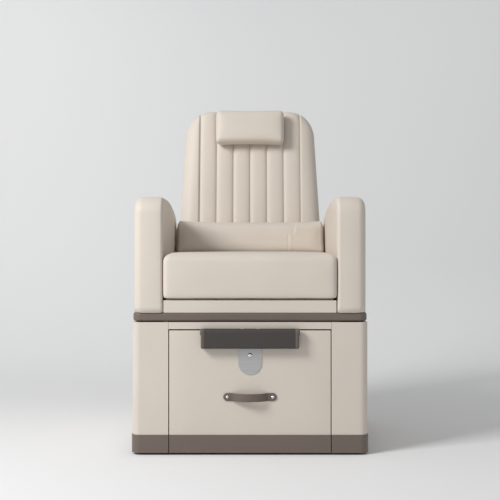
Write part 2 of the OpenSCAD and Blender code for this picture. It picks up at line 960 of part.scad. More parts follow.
module back_cushion() {
    top_r = back_edge_r;
    corner_z = back_top - back_corner_h;
    straight_shares = [0.33, 0.66];
    rings = [
        for (a = [90, 45, 0])
            back_ring(back_foot + end_back(top_r, a), back_t - end_in(top_r, a)),
        for (t = straight_shares) back_ring(blend(back_foot, corner_z, t), back_t),
        for (t = [0, 0.35, 0.6]) back_ring(corner_z + t * back_corner_h, back_t),
        for (a = [0, 30, 60, 90])
            back_ring(back_top - end_back(top_r, a), back_t - end_in(top_r, a))
    ];
    color(cream) on_back() loft(rings);
}

board_inset = 6;

module back_board() {
    color(board) on_back() front_slab(0, drawer_wall) back_outline(board_inset);
}

// Space from the back board to the shell's rear, drawn in by inset
module shell_space(inset) {
    rear = shell_back - inset;
    intersection() {
        front_slab(drawer_wall, shell_d - inset) back_outline(inset);
        side_slab(-back_low_half, 2 * back_low_half) difference() {
            translate([drawer_wall, back_foot - over])
                square([shell_d - inset, back_l + 2 * over - inset]);
            corner_waste(rear, back_top - inset, -1, -1, back_edge_r);
        }
    }
}

module back_shell() {
    color(cream) on_back() difference() {
        shell_space(0);
        intersection() {
            translate([-back_low_half, drawer_wall - over, back_foot - over])
                cube([2 * back_low_half, shell_d + over, back_l]);
            union() {
                shell_space(shell_wall);
                translate([0, 0, -2 * over]) shell_space(shell_wall);
            }
        }
    }
}

// Pillows

// Angle between the points of a pillow's or a corner's outline
ring_step = 15;

// Closed outline in Y and Z at x: a rounded rectangle of half sizes a and b that bulges as e falls
function pillow_ring(x, y, z, a, b, e) = [
    for (i = [0 : 23]) let (t = ring_step * (i + 0.5))
        [x, y + a * power(cos(t), e), z + b * power(sin(t), e)]
];

lumbar_low = 100;
lumbar_wing = 8;
lumbar_pinch_share = 0.76;

// Growth of the lumbar pillow's height towards its ends, and the pinch that its cover draws there
function lumbar_rise(u) = lumbar_wing * pow(abs(u), 4);
function lumbar_draw(u) = 1 - 0.05 * exp(-pow((abs(u) - lumbar_pinch_share) / 0.06, 2));

module lumbar_pillow() {
    half = lumbar_w / 2;
    end_r = lumbar_t / 7;
    y = -(back_t + slip + lumbar_t / 2);
    z = lumbar_low + lumbar_h / 2;
    turn = [90, 60, 30, 0];
    places = [-0.84, -0.76, -0.68, -0.45, -0.2, 0, 0.2, 0.45, 0.68, 0.76, 0.84];
    rings = [
        for (a = turn) let (x = -half + end_back(end_r, a), cut = end_in(end_r, a))
            pillow_ring(x, y, z + lumbar_rise(1) / 2, lumbar_t / 2 - cut,
                (lumbar_h + lumbar_rise(1)) / 2 - cut, 0.5),
        for (u = places)
            pillow_ring(u * half, y, z + lumbar_rise(u) / 2, lumbar_t / 2 * lumbar_draw(u),
                (lumbar_h + lumbar_rise(u)) / 2 * lumbar_draw(u), 0.55),
        for (i = [3 : -1 : 0])
            let (x = half - end_back(end_r, turn[i]), cut = end_in(end_r, turn[i]))
            pillow_ring(x, y, z + lumbar_rise(1) / 2, lumbar_t / 2 - cut,
                (lumbar_h + lumbar_rise(1)) / 2 - cut, 0.5)
    ];
    color(cream) on_back() loft(rings);
}

head_setdown = 20;

module head_pillow() {
    half = head_w / 2;
    end_r = head_t / 3;
    y = -(band_front + band_t + slip + head_t / 2);
    z = back_top - head_setdown - head_h / 2;
    turn = [90, 60, 30, 0];
    places = [-0.6, -0.3, 0, 0.3, 0.6];
    rings = [
        for (a = turn)
            pillow_ring(-half + end_back(end_r, a), y, z, head_t / 2 - end_in(end_r, a),
                head_h / 2 - end_in(end_r, a), 0.45),
        for (u = places) pillow_ring(u * half, y, z, head_t / 2, head_h / 2, 0.5),
        for (i = [3 : -1 : 0])
            pillow_ring(half - end_back(end_r, turn[i]), y, z,
                head_t / 2 - end_in(end_r, turn[i]), head_h / 2 - end_in(end_r, turn[i]), 0.45)
    ];
    color(cream) on_back() loft(rings);
}

// Band over the top of the backrest: its front leg lies behind the head pillow
module band_outline(grow) {
    front = -(band_front + grow);
    rear = band_rear + grow;
    top = band_top + grow;
    difference() {
        translate([front, weight_low]) square([rear - front, top - weight_low]);
        corner_waste(front, top, 1, -1, back_edge_r + grow);
        corner_waste(rear, top, -1, -1, back_edge_r + grow);
    }
}

module pillow_strap() {
    front_low = back_top - head_h + head_setdown;
    rear_low = weight_low + weight_wall + head_travel + band_end_room;
    color(taupe) on_back() side_slab(-band_w / 2, band_w) difference() {
        band_outline(band_t);
        band_outline(0);
        translate([0, -over]) band_outline(0);
        translate([-band_front - band_t - over, weight_low - over])
            square([band_front, front_low - weight_low + over]);
        translate([band_rear - over, weight_low - over])
            square([band_t + 2 * over, rear_low - weight_low + over]);
    }
}

module strap_weight() {
    half = band_w / 2 + weight_wall;
    front = band_rear - slip;
    deep = band_t + 2 * slip + weight_wall;
    color(taupe) on_back() difference() {
        side_slab(-half, 2 * half) round_rect(
            front, front + deep + weight_wall / 2, weight_low, weight_low + weight_h, weight_wall / 3
        );
        translate([-band_w / 2 - slip, front - over, weight_low + weight_wall])
            cube([band_w + 2 * slip, band_t + 2 * slip + over, weight_h]);
    }
}

// Runners: three nested members on each side of the drawer

race_gap = 3;
race_w = 3;
runner_edge = runner_sheet + 2 * slip;

// Channel section from x0 to x1; its web lies at x0 when web_low is true, and otherwise at x1
module channel_section(x0, x1, half, web_low) {
    difference() {
        translate([x0, -half]) square([x1 - x0, 2 * half]);
        translate([web_low ? x0 + runner_sheet : x0 - over, runner_sheet - half])
            square([x1 - x0 - runner_sheet + over, 2 * (half - runner_sheet)]);
    }
}

// Rows of balls on the lips of a member, drawn as the strips that their cages fill
module ball_strips(half) {
    for (z = [-half - race_gap + slip, half])
        translate([(carcass_in + box_half - race_w) / 2, z]) square([race_w, race_gap - slip]);
}

middle_half = runner_h / 2 - runner_sheet - race_gap;
inner_half = middle_half - runner_sheet - race_gap;

module runner_pair() {
    color(steel) in_frame() both_sides() translate([0, 0, runner_z])
        front_slab(runner_y, runner_l) children();
}

module runner_cabinet_members() {
    runner_pair() channel_section(box_half + 2 * runner_sheet, carcass_in, runner_h / 2, false);
}

module runner_middle_members() {
    runner_pair() {
        channel_section(box_half + runner_edge, carcass_in - runner_edge, middle_half, false);
        ball_strips(middle_half);
    }
}

module runner_drawer_members() {
    runner_pair() {
        channel_section(box_half, carcass_in - 2 * runner_edge, inner_half, true);
        ball_strips(inner_half);
    }
}

// Drawer

screw_r = 2.5;
screw_l = 12;
tongue_tip = axis_z - tongue_drop;
plate_bolt_rise = 64;
plate_bolt_z = tongue_tip + plate_bolt_rise;
hidden_bolt_fall = 26;
hidden_bolt_z = axis_z - hidden_bolt_fall;
plate_bolt_r = 4;
dome_r = 8;
dome_h = 4.5;
strap_z = plinth_top + strap_rise;

module at_strap_screws() {
    for (x = [-strap_pitch / 2, strap_pitch / 2])
        translate([x, 0, strap_z]) rotate([90, 0, 0]) children();
}

module at_plate_bolts() {
    for (z = [plate_bolt_z, hidden_bolt_z]) translate([0, 0, z]) rotate([90, 0, 0]) children();
}

module drawer_front() {
    color(cream) in_frame() difference() {
        translate([-drawer_half, 0, plinth_top])
            cube([2 * drawer_half, board_t, drawer_top - plinth_top]);
        at_strap_screws() translate([0, 0, -screw_l - over])
            cylinder(r = screw_r + hole_fit, h = screw_l + 2 * over);
        at_plate_bolts() translate([0, 0, -screw_l - over])
            cylinder(r = plate_bolt_r + hole_fit, h = screw_l + 2 * over);
    }
}

module drawer_plinth() {
    low = floor_gap + slip;
    color(taupe) in_frame() translate([-drawer_half, -plinth_lip, low])
        cube([2 * drawer_half, board_t - slip, plinth_top - low]);
}

module drawer_sides() {
    color(board) in_frame() both_sides() translate([box_in, board_t, box_z])
        cube([drawer_wall, box_d - board_t, drawer_box_h]);
}

module drawer_back() {
    color(board) in_frame() translate([-box_in, box_d - drawer_wall, box_z])
        cube([2 * box_in, drawer_wall, drawer_box_h]);
}

module drawer_bottom() {
    color(board) in_frame() translate([-box_in, board_t, box_z])
        cube([2 * box_in, box_d - drawer_wall - board_t, box_floor_t]);
}

// Foot basin and its waste

rim_corner_r = 20;
rim_edge = 1.5;
tub_lip_r = 8;

// Outline in plan at height z, as 28 points
function plan_ring(half, y0, y1, r, z) = [
    for (c = [[1, 1, 0], [-1, 1, 6], [-1, -1, 12], [1, -1, 18]], i = [0 : 6])
        let (a = ring_step * (c[2] + i), y = c[1] > 0 ? y1 - r : y0 + r)
        [c[0] * (half - r) + r * cos(a), y + r * sin(a), z]
];

function tub_ring(inset, z) = plan_ring(
    tub_half - inset, tub_front + inset, tub_rear - inset, tub_corner_r - inset / 2, z
);

function rim_ring(inset, z) = plan_ring(
    box_half - rim_gap - inset, rim_front + inset, rim_rear - inset, rim_corner_r, z
);

module basin() {
    low = tub_floor - basin_wall;
    color("#E9E7E2") in_frame() difference() {
        loft([
            tub_ring(tub_draw + tub_foot_r, low),
            tub_ring(tub_draw + 0.3 * tub_foot_r - basin_wall / 2, low + 0.3 * tub_foot_r),
            tub_ring(tub_draw - basin_wall, low + tub_foot_r),
            tub_ring(-basin_wall, box_top),
            rim_ring(0, box_top),
            rim_ring(0, rim_top - rim_edge),
            rim_ring(rim_edge, rim_top),
            tub_ring(-tub_lip_r, rim_top),
            tub_ring(-0.3 * tub_lip_r, rim_top - 0.3 * tub_lip_r),
            tub_ring(0, rim_top - tub_lip_r),
            tub_ring(tub_draw, tub_floor + tub_foot_r),
            tub_ring(tub_draw + 0.3 * tub_foot_r, tub_floor + 0.3 * tub_foot_r),
            tub_ring(tub_draw + tub_foot_r, tub_floor)
        ]);
        translate([0, tub_y, low - over])
            cylinder(r = waste_r + hole_fit, h = basin_wall + 2 * over);
        translate([0, tap_y, box_top - over])
            cylinder(r = shank_r + hole_fit, h = rim_t + 2 * over);
    }
}

module at_waste() {
    in_frame() translate([0, tub_y, 0]) children();
}

guide_h = 8;
guide_drop = 18;
guide_wall = 3;

module waste_fitting() {
    low = trap_top - guide_h;
    color("#C9C9C9") at_waste() {
        rotate_extrude() polygon([
            [waste_bore_r, low], [waste_r, low], [waste_r, tub_floor], [flange_r, tub_floor],
            [flange_r, tub_floor + flange_t / 3], [flange_r - flange_t, tub_floor + flange_t],
            [waste_bore_r, tub_floor + flange_t]
        ]);
        translate([0, 0, tub_floor - guide_drop]) difference() {
            union() {
                cylinder(r = stem_r + guide_wall, h = guide_h);
                for (a = [0, 120, 240]) rotate([0, 0, a]) translate([stem_r, -guide_wall / 2, 0])
                    cube([waste_r - guide_wall / 2 - stem_r, guide_wall, guide_h]);
            }
            translate([0, 0, -over]) cylinder(r = stem_r + pin_fit, h = guide_h + 2 * over);
        }
    }
}

module drain_plug() {
    seat = tub_floor + flange_t + slip;
    plug_r = flange_r - flange_t - 2;
    color("#D8D8D8") at_waste() rotate_extrude() polygon([
        [0, tub_floor - guide_drop - plug_travel / 2],
        [stem_r, tub_floor - guide_drop - plug_travel / 2],
        [stem_r, seat], [plug_r, seat], [plug_r, seat + plug_t / 2],
        [plug_r - plug_t, seat + plug_t], [0, seat + 1.2 * plug_t]
    ]);
}

module trap() {
    collar_l = tub_floor - basin_wall - trap_top;
    pipe_z = trap_top - trap_h / 2;
    pipe_r = trap_h / 2 - trap_wall;
    color("#E4E4E4") at_waste() difference() {
        union() {
            translate([0, 0, trap_top - trap_h]) cylinder(r = trap_r, h = trap_h);
            translate([0, 0, trap_top - over]) cylinder(r = collar_r, h = collar_l + over - slip);
            translate([0, 0, pipe_z]) rotate([-90, 0, 0])
                cylinder(r = pipe_r, h = trap_r + trap_pipe_l);
        }
        translate([0, 0, trap_top - trap_h + trap_wall])
            cylinder(r = trap_r - trap_wall, h = trap_h - 2 * trap_wall);
        translate([0, 0, trap_top - 2 * trap_wall])
            cylinder(r = waste_r + hole_fit, h = collar_l + 3 * trap_wall);
        translate([0, 0, pipe_z]) rotate([-90, 0, 0])
            cylinder(r = pipe_r - trap_wall, h = trap_r + trap_pipe_l + over);
    }
}

// Tap

tap_flange_t = 4;
tap_flange_lip = 6;
spigot_grip = 8;
nozzle_r = 8;
nozzle_h = 8;
head_r = tap_r - 1;
nut_t = 10;
head_z = rim_top + tap_body_h + spout_t + 2 * slip;
lever_hub_r = 5;
lever_axis_z = head_z + head_cap_h + lever_hub_r + 2 * slip;

module at_tap(z) {
    in_frame() translate([0, tap_y, z]) children();
}

module tap_body() {
    top = tap_body_h + spout_t + 2 * slip + spigot_grip - slip;
    color("#CFCFCF") at_tap(rim_top) {
        rotate_extrude() polygon([
            [0, -shank_l], [shank_r, -shank_l], [shank_r, 0], [tap_r + tap_flange_lip, 0],
            [tap_r + tap_flange_lip, tap_flange_t / 2], [tap_r + tap_flange_lip / 2, tap_flange_t],
            [tap_r, tap_flange_t], [tap_r, tap_body_h], [spigot_r, tap_body_h], [spigot_r, top],
            [0, top]
        ]);
    }
}

module tap_nut() {
    color("#B5A36A") at_tap(box_top - nut_t) difference() {
        cylinder(r = shank_r + nut_t, h = nut_t, $fn = 6);
        translate([0, 0, -over]) cylinder(r = shank_r + hole_fit, h = nut_t + 2 * over);
    }
}

module tap_spout() {
    arm_h = spout_t - tap_flange_t;
    root = tap_r / 2;
    color("#CFCFCF") at_tap(rim_top + tap_body_h + slip) difference() {
        union() {
            cylinder(r = tap_r, h = spout_t);
            translate([0, 0, tap_flange_t / 2]) linear_extrude(height = arm_h) {
                polygon([
                    [-root, 0], [root, 0], [nozzle_r + 1, -spout_l], [-nozzle_r - 1, -spout_l]
                ]);
                translate([0, -spout_l]) circle(r = nozzle_r + 1);
            }
            translate([0, -spout_l, tap_flange_t / 2 - nozzle_h])
                cylinder(r = nozzle_r, h = nozzle_h + over);
        }
        translate([0, 0, -over]) cylinder(r = spigot_r + pin_fit, h = spout_t + 2 * over);
        translate([0, -spout_l, tap_flange_t / 2 - nozzle_h - over])
            cylinder(r = nozzle_r - 2, h = nozzle_h + over);
    }
}

module tap_head() {
    ear_top = lever_axis_z - head_z + lever_hub_r;
    color("#CFCFCF") at_tap(head_z) difference() {
        union() {
            cylinder(r = head_r, h = head_cap_h);
            for (x = [lever_w / 2 + slip, -lever_w / 2 - slip - ear_t])
                side_slab(x, ear_t) {
                    translate([-lever_hub_r, head_cap_h - over])
                        square([2 * lever_hub_r, ear_top - lever_hub_r - head_cap_h + over]);
                    translate([0, ear_top - lever_hub_r]) circle(r = lever_hub_r);
                }
        }
        translate([0, 0, -over]) cylinder(r = spigot_r + pin_fit, h = spigot_grip + over);
        translate([0, 0, ear_top - lever_hub_r]) rotate([0, 90, 0])
            cylinder(r = lever_pin_r + pin_fit, h = 2 * tap_r, center = true);
    }
}

module tap_lever() {
    pin_l = lever_w + 2 * (slip + ear_t + 1);
    color("#CFCFCF") at_tap(lever_axis_z) {
        side_slab(-lever_w / 2, lever_w) {
            circle(r = lever_hub_r);
            polygon([
                [0, -lever_t / 2], [0, lever_hub_r], [-lever_hub_r, lever_hub_r],
                [-lever_l, lever_t / 2], [-lever_l, 0], [-lever_l + lever_t, -lever_t / 2]
            ]);
        }
        rotate([0, 90, 0]) cylinder(r = lever_pin_r, h = pin_l, center = true);
    }
}

// Strap handle

// How far the strap stands off the drawer at x, and its outline in plan
strap_half = strap_pitch / 2 - 0.55 * strap_w;
strap_bend = 0.8;
function strap_line(x) = abs(x) < strap_half
    ? -strap_bow * pow(1 - pow(x / strap_half, 2), strap_bend) : 0;

module strap_plan() {
    steps = 14;
    end = (strap_pitch + strap_w) / 2;
    xs = [-end, for (i = [-steps : steps]) i * strap_half / steps, end];
    polygon(concat(
        [for (x = xs) [x, strap_line(x)]],
        [for (i = [len(xs) - 1 : -1 : 0]) [xs[i], strap_line(xs[i]) - strap_t]]
    ));
}

module strap_handle() {
    color("#6B6059") in_frame() difference() {
        intersection() {
            translate([0, 0, strap_z - strap_w / 2]) linear_extrude(height = strap_w) strap_plan();
            front_slab(-strap_bow - 2 * strap_t, strap_bow + 2 * strap_t + over) {
                translate([-strap_pitch / 2, strap_z - strap_w / 2]) square([strap_pitch, strap_w]);
                for (x = [-strap_pitch / 2, strap_pitch / 2])
                    translate([x, strap_z]) circle(r = strap_w / 2);
            }
        }
        at_strap_screws() cylinder(r = screw_r + hole_fit, h = 3 * strap_t, center = true);
    }
}

// A shallow dome of radius r and height h
module dome(r, h) {
    ball_r = (r * r + h * h) / (2 * h);
    rotate_extrude() intersection() {
        translate([0, h - ball_r]) circle(r = ball_r);
        square([r, h]);
    }
}

screw_head_r = 5.5;
screw_head_h = 3;

module strap_screws() {
    color("#C4C4C4") in_frame() at_strap_screws() {
        translate([0, 0, strap_t]) dome(screw_head_r, screw_head_h);
        translate([0, 0, -screw_l]) cylinder(r = screw_r, h = screw_l + strap_t + slip);
    }
}

// Footrest and its steel tongue plate

shaft_r = shaft_d / 2;

module at_axis() {
    in_frame() translate([0, axis_y, axis_z]) children();
}

module tongue_plate() {
    color(steel) in_frame() difference() {
        union() {
            front_slab(-tongue_t, tongue_t) {
                translate([0, tongue_tip + tongue_w / 2]) circle(r = tongue_w / 2);
                translate([-tongue_w / 2, tongue_tip + tongue_w / 2])
                    square([tongue_w, drawer_top - slip - tongue_tip - tongue_w / 2]);
            }
            translate([0, axis_y, axis_z]) for (x = [-lug_x, lug_x]) side_slab(x - lug_t / 2, lug_t) {
                circle(r = lug_r);
                translate([0, -lug_neck_half]) square([-axis_y - tongue_t / 2, 2 * lug_neck_half]);
            }
        }
        translate([0, axis_y, axis_z]) rotate([0, 90, 0])
            cylinder(r = shaft_r + pin_fit, h = 2 * tongue_w, center = true);
        at_plate_bolts() cylinder(r = plate_bolt_r + hole_fit, h = 3 * tongue_t, center = true);
    }
}

flat_head_r = 7;
flat_head_t = 1.2;

module plate_bolts() {
    color("#C4C4C4") in_frame() {
        at_plate_bolts() translate([0, 0, -screw_l])
            cylinder(r = plate_bolt_r, h = screw_l + tongue_t + slip);
        translate([0, -tongue_t, plate_bolt_z]) rotate([90, 0, 0]) dome(dome_r, dome_h);
        translate([0, -tongue_t, hidden_bolt_z]) rotate([90, 0, 0])
            cylinder(r = flat_head_r, h = flat_head_t);
    }
}

pad_foot_r = 5;
cap_front_r = 8;

// Section of the footrest about its hinge axis, in Y and Z
module footrest_section() {
    circle(r = footrest_r);
    difference() {
        translate([-footrest_r, -footrest_drop]) square([footrest_t, footrest_drop]);
        corner_waste(-footrest_r, -footrest_drop, 1, 1, pad_foot_r);
        corner_waste(footrest_r, -footrest_drop, -1, 1, pad_foot_r);
    }
}

module footrest_pad() {
    neck_room = lug_neck_half + lug_room;
    color(charcoal) at_axis() difference() {
        side_slab(-footrest_w / 2, footrest_w) footrest_section();
        rotate([0, 90, 0]) cylinder(r = shaft_r + pin_fit, h = footrest_w + 2 * over, center = true);
        for (x = [-lug_x, lug_x]) side_slab(x - lug_t / 2 - lug_room, lug_t + 2 * lug_room) {
            circle(r = lug_r + lug_room);
            translate([-neck_room, -neck_room]) square(footrest_t);
        }
    }
}

module footrest_caps() {
    cap_x = footrest_w / 2;
    color("#80766F") at_axis() both_sides() difference() {
        union() {
            intersection() {
                side_slab(cap_x, end_cap_w) footrest_section();
                translate([0, 0, -footrest_drop - over])
                    linear_extrude(height = footrest_drop + footrest_r + 2 * over) difference() {
                        translate([0, -footrest_r]) square([cap_x + end_cap_w, footrest_t]);
                        corner_waste(cap_x + end_cap_w, -footrest_r, -1, 1, cap_front_r);
                    }
            }
            translate([cap_x + end_cap_w, 0, 0]) rotate([0, 90, 0]) dome(cap_dome_r, cap_dome_h);
        }
        translate([cap_x - over, 0, 0]) rotate([0, 90, 0])
            cylinder(r = shaft_r + pin_fit, h = end_cap_w / 2 + over);
    }
}

module footrest_shaft() {
    color(steel) at_axis() rotate([0, 90, 0])
        cylinder(r = shaft_r, h = footrest_w + end_cap_w - 2 * slip, center = true);
}

plinth_left();
plinth_right();
plinth_rear();
levelling_feet();
bottom_board();
side_casing_left();
side_casing_right();
carcass_side_left();
carcass_side_right();
top_rail();
rear_panel();
service_plate();
water_inlets();
inlet_nuts();
waste_outlet();
platform_spacer();
platform();
seat_rail();
seat_deck();
seat_cushion();
arm_cores();
arm_left();
arm_right();
arm_bolts();
recliner_brackets();
runner_cabinet_members();
runner_middle_members();
runner_drawer_members();
drawer_front();
drawer_plinth();
drawer_sides();
drawer_back();
drawer_bottom();
basin();
waste_fitting();
drain_plug();
trap();
tap_body();
tap_nut();
tap_spout();
tap_head();
tap_lever();
strap_handle();
strap_screws();
tongue_plate();
plate_bolts();
footrest_pad();
footrest_caps();
footrest_shaft();
back_cushion();
back_board();
back_shell();
back_leaves();
hinge_pins();
lumbar_pillow();
pillow_strap();
head_pillow();
strap_weight();
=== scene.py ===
# %% [markdown]
# # A pedicure chair, dressed for its photograph
#
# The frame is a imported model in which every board, hinge and cushion has its place and size. This lesson gives it
# its looks: leatherette over foam, lacquered boards, steel, chrome and acrylic. Nothing in the frame is moved.

# %% Load the frame
import bmesh
import bpy
import json
import math
import numpy as np
from mathutils import Matrix, Vector, noise

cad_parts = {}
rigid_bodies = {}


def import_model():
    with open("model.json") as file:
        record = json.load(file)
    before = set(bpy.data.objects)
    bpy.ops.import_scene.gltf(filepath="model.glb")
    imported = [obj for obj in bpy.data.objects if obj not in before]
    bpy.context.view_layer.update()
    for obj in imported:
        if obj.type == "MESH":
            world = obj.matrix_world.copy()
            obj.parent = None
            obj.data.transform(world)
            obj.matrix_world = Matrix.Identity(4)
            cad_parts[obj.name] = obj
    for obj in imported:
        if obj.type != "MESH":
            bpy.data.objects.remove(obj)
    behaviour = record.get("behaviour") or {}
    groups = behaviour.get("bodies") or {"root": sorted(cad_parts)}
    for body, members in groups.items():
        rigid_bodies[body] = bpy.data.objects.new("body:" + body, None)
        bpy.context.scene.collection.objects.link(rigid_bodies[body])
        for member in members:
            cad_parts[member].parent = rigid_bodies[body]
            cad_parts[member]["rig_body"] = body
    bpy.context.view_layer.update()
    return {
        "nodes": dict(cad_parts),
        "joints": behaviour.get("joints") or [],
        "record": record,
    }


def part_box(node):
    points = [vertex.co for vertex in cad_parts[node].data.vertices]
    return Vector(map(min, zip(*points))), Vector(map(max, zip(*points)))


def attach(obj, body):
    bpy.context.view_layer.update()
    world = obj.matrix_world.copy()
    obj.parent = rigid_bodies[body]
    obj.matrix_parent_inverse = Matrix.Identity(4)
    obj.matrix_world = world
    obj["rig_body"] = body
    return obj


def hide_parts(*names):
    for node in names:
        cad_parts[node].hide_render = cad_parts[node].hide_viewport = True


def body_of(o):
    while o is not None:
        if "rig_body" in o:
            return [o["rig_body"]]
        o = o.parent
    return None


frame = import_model()

MM = 0.001
front_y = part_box("drawer_front")[0].y


def joint(name):
    """The record's joint of that name."""
    return next(j for j in frame["joints"] if j["name"] == name)


def placed(name, data):
    """A new object with that data, linked to the scene."""
    piece = bpy.data.objects.new(name, data)
    bpy.context.scene.collection.objects.link(piece)
    return piece


def arc(start, end, steps):
    """(cosine, sine) at even steps of a turn from start to end degrees, both ends included."""
    return [(math.cos(turn), math.sin(turn))
            for turn in (math.radians(start + (end - start) * i / steps) for i in range(steps + 1))]


def unit(value):
    """The value, held between 0 and 1."""
    return min(1.0, max(0.0, value))


# %% [markdown]
# ## The camera
#
# The photograph is taken level, from straight ahead: upright edges stay upright and the two arms narrow towards
# their rear. So the camera looks along +Y with no tilt, 3.3 m in front of the drawer, through a 72 mm lens.

# %% Place the camera
CAMERA_DISTANCE, CAMERA_HEIGHT, LENS_MM, SENSOR_MM = 3.3, 0.6765, 72, 36
camera = placed("front_camera", bpy.data.cameras.new("front_camera"))
camera.data.lens, camera.data.sensor_width = LENS_MM, SENSOR_MM
camera.location = (0, front_y - CAMERA_DISTANCE, CAMERA_HEIGHT)
camera.rotation_euler = (math.radians(90), 0, 0)
bpy.context.scene.camera = camera
bpy.context.scene.view_settings.view_transform = "Standard"
print("camera at", tuple(camera.location))

# %% [markdown]
# ## Floor, backdrop and light
#
# The sweep is one sheet that runs from the floor up behind the chair in a wide curve, so no horizon shows. A large
# lamp at the upper left front throws soft shadows to the right, pale surroundings fill them, and two weak lamps wash
# the sweep's wall.

# %% Build the sweep and the lamps
SWEEP_HALF, SWEEP_WALL_Y, SWEEP_TOP, SWEEP_RADIUS = 9.0, 4.2, 7.0, 2.2
KEY_FROM, KEY_AIM, KEY_REACH = Vector((-0.643, -0.562, 0.519)), Vector((0, 0, 0.6)), 4.3
KEY_SIZE, KEY_WATTS, WASH_SIZE, WASH_SPREAD = 1.35, 126, 2.2, 130
AIR_FILL, AIR_STRENGTH, AIR_SEEN = (0.975, 0.985, 1.0, 1), 0.40, (0.84, 0.84, 0.84, 1)


def new_mesh(name, points, faces):
    """A linked, smooth-shaded object from points and faces, with its place in its mesh."""
    mesh = bpy.data.meshes.new(name)
    mesh.from_pydata([tuple(p) for p in points], [], [tuple(f) for f in faces])
    mesh.validate()
    mesh.update()
    mesh.polygons.foreach_set("use_smooth", [True] * len(mesh.polygons))
    return placed(name, mesh)


bend_y = SWEEP_WALL_Y - SWEEP_RADIUS
profile = [(-9.0, 0.0), (-3.0, 0.0), (0.0, 0.0)]
profile += [(bend_y + SWEEP_RADIUS * s, SWEEP_RADIUS * (1 - c)) for c, s in arc(0, 90, 24)]
profile.append((SWEEP_WALL_Y, SWEEP_TOP))
sweep = new_mesh("studio_sweep", [(x, y, z) for y, z in profile for x in (-SWEEP_HALF, SWEEP_HALF)],
                 [(2 * i, 2 * i + 1, 2 * i + 3, 2 * i + 2) for i in range(len(profile) - 1)])


def area_lamp(name, place, aim, size, watts):
    """A square lamp at place that shines at aim."""
    lamp = placed(name, bpy.data.lights.new(name, "AREA"))
    lamp.data.shape = "SQUARE"
    lamp.data.size, lamp.data.energy = size, watts
    lamp.location = place
    lamp.rotation_euler = (Vector(aim) - Vector(place)).to_track_quat("-Z", "Y").to_euler()
    return lamp


area_lamp("key_lamp", KEY_AIM + KEY_REACH * KEY_FROM, KEY_AIM, KEY_SIZE, KEY_WATTS)
for name, side, watts in (("wall_wash_left", -2.3, 6.8), ("wall_wash_right", 2.1, 4.9)):
    wash = area_lamp(name, (side, 1.9, 3.2), (0.8 * side, SWEEP_WALL_Y, 1.4), WASH_SIZE, watts)
    wash.data.spread = math.radians(WASH_SPREAD)


def feed(tree, node, inputs):
    """Links a socket, or writes a plain value, to each named or numbered input of a node."""
    for where, value in inputs.items():
        if isinstance(value, bpy.types.NodeSocket):
            tree.links.new(value, node.inputs[where])
        else:
            node.inputs[where].default_value = value


def add(tree, kind, inputs=None, out=0, **properties):
    """Adds a node with its properties, feeds its inputs and gives one of its outputs."""
    node = tree.nodes.new(kind)
    for key, value in properties.items():
        setattr(node, key, value)
    feed(tree, node, inputs or {})
    return node.outputs[out]


world = bpy.data.worlds.new("studio_air")
bpy.context.scene.world = world
world.use_nodes = True
air = world.node_tree
air.nodes.clear()
rays = add(air, "ShaderNodeLightPath").node.outputs
fill = add(air, "ShaderNodeBackground", {"Color": AIR_FILL, "Strength": AIR_STRENGTH})
seen = add(air, "ShaderNodeBackground", {"Color": AIR_SEEN})
direct = rays["Is Camera Ray"]
for kind in ("Is Glossy Ray", "Is Transmission Ray"):
    direct = add(air, "ShaderNodeMath", {0: direct, 1: rays[kind]}, operation="MAXIMUM")
shown = add(air, "ShaderNodeMixShader", {0: direct, 1: fill, 2: seen})
feed(air, air.nodes.new("ShaderNodeOutputWorld"), {"Surface": shown})

# %% [markdown]
# ## Shared effects
#
# Pebble grain on leatherette, streaks on brushed steel and the fine unevenness of lacquer are node groups, built
# once. A group puts out colours, masks and normals only; the shader stays in the material with its plain values.


# %% Helpers that make node groups short to write
FLOAT, COLOUR, VECTOR = "NodeSocketFloat", "NodeSocketColor", "NodeSocketVector"
SURFACE = [("Color", COLOUR), ("Roughness", FLOAT), ("Normal", VECTOR)]
VECTORS = "ShaderNodeVectorMath"


def make_group(name, inputs, outputs, kind="ShaderNodeTree"):
    """An empty group, its given sockets and its output node. Inputs are (name, kind, value)."""
    group = bpy.data.node_groups.new(name, kind)
    for label, socket_kind, value in inputs:
        socket = group.interface.new_socket(name=label, in_out="INPUT", socket_type=socket_kind)
        if value is not None:
            socket.default_value = value
    for label, socket_kind in outputs:
        group.interface.new_socket(name=label, in_out="OUTPUT", socket_type=socket_kind)
    return group, group.nodes.new("NodeGroupInput").outputs, group.nodes.new("NodeGroupOutput")


def spot_on(tree):
    """The place on the object itself."""
    return add(tree, "ShaderNodeTexCoord", out="Object")


def cloudy(tree, vector, scale, detail, **more):
    return add(tree, "ShaderNodeTexNoise", {"Vector": vector, "Scale": scale, "Detail": detail, **more})


def mapped(tree, value, low, high, to_low=0.0, to_high=1.0, **properties):
    return add(tree, "ShaderNodeMapRange", {0: value, 1: low, 2: high, 3: to_low, 4: to_high}, **properties)


def maths(tree, operation, *values, kind="ShaderNodeMath"):
    return add(tree, kind, dict(enumerate(values)), operation=operation)


def scaled(tree, vector, scale):
    return add(tree, VECTORS, {0: vector, "Scale": scale}, operation="SCALE")


def mixed(tree, factor, first, second):
    return add(tree, "ShaderNodeMix", {"Factor": factor, 6: first, 7: second}, 2, data_type="RGBA")


def bumped(tree, height, strength, distance):
    return add(tree, "ShaderNodeBump", {"Height": height, "Strength": strength, "Distance": distance})


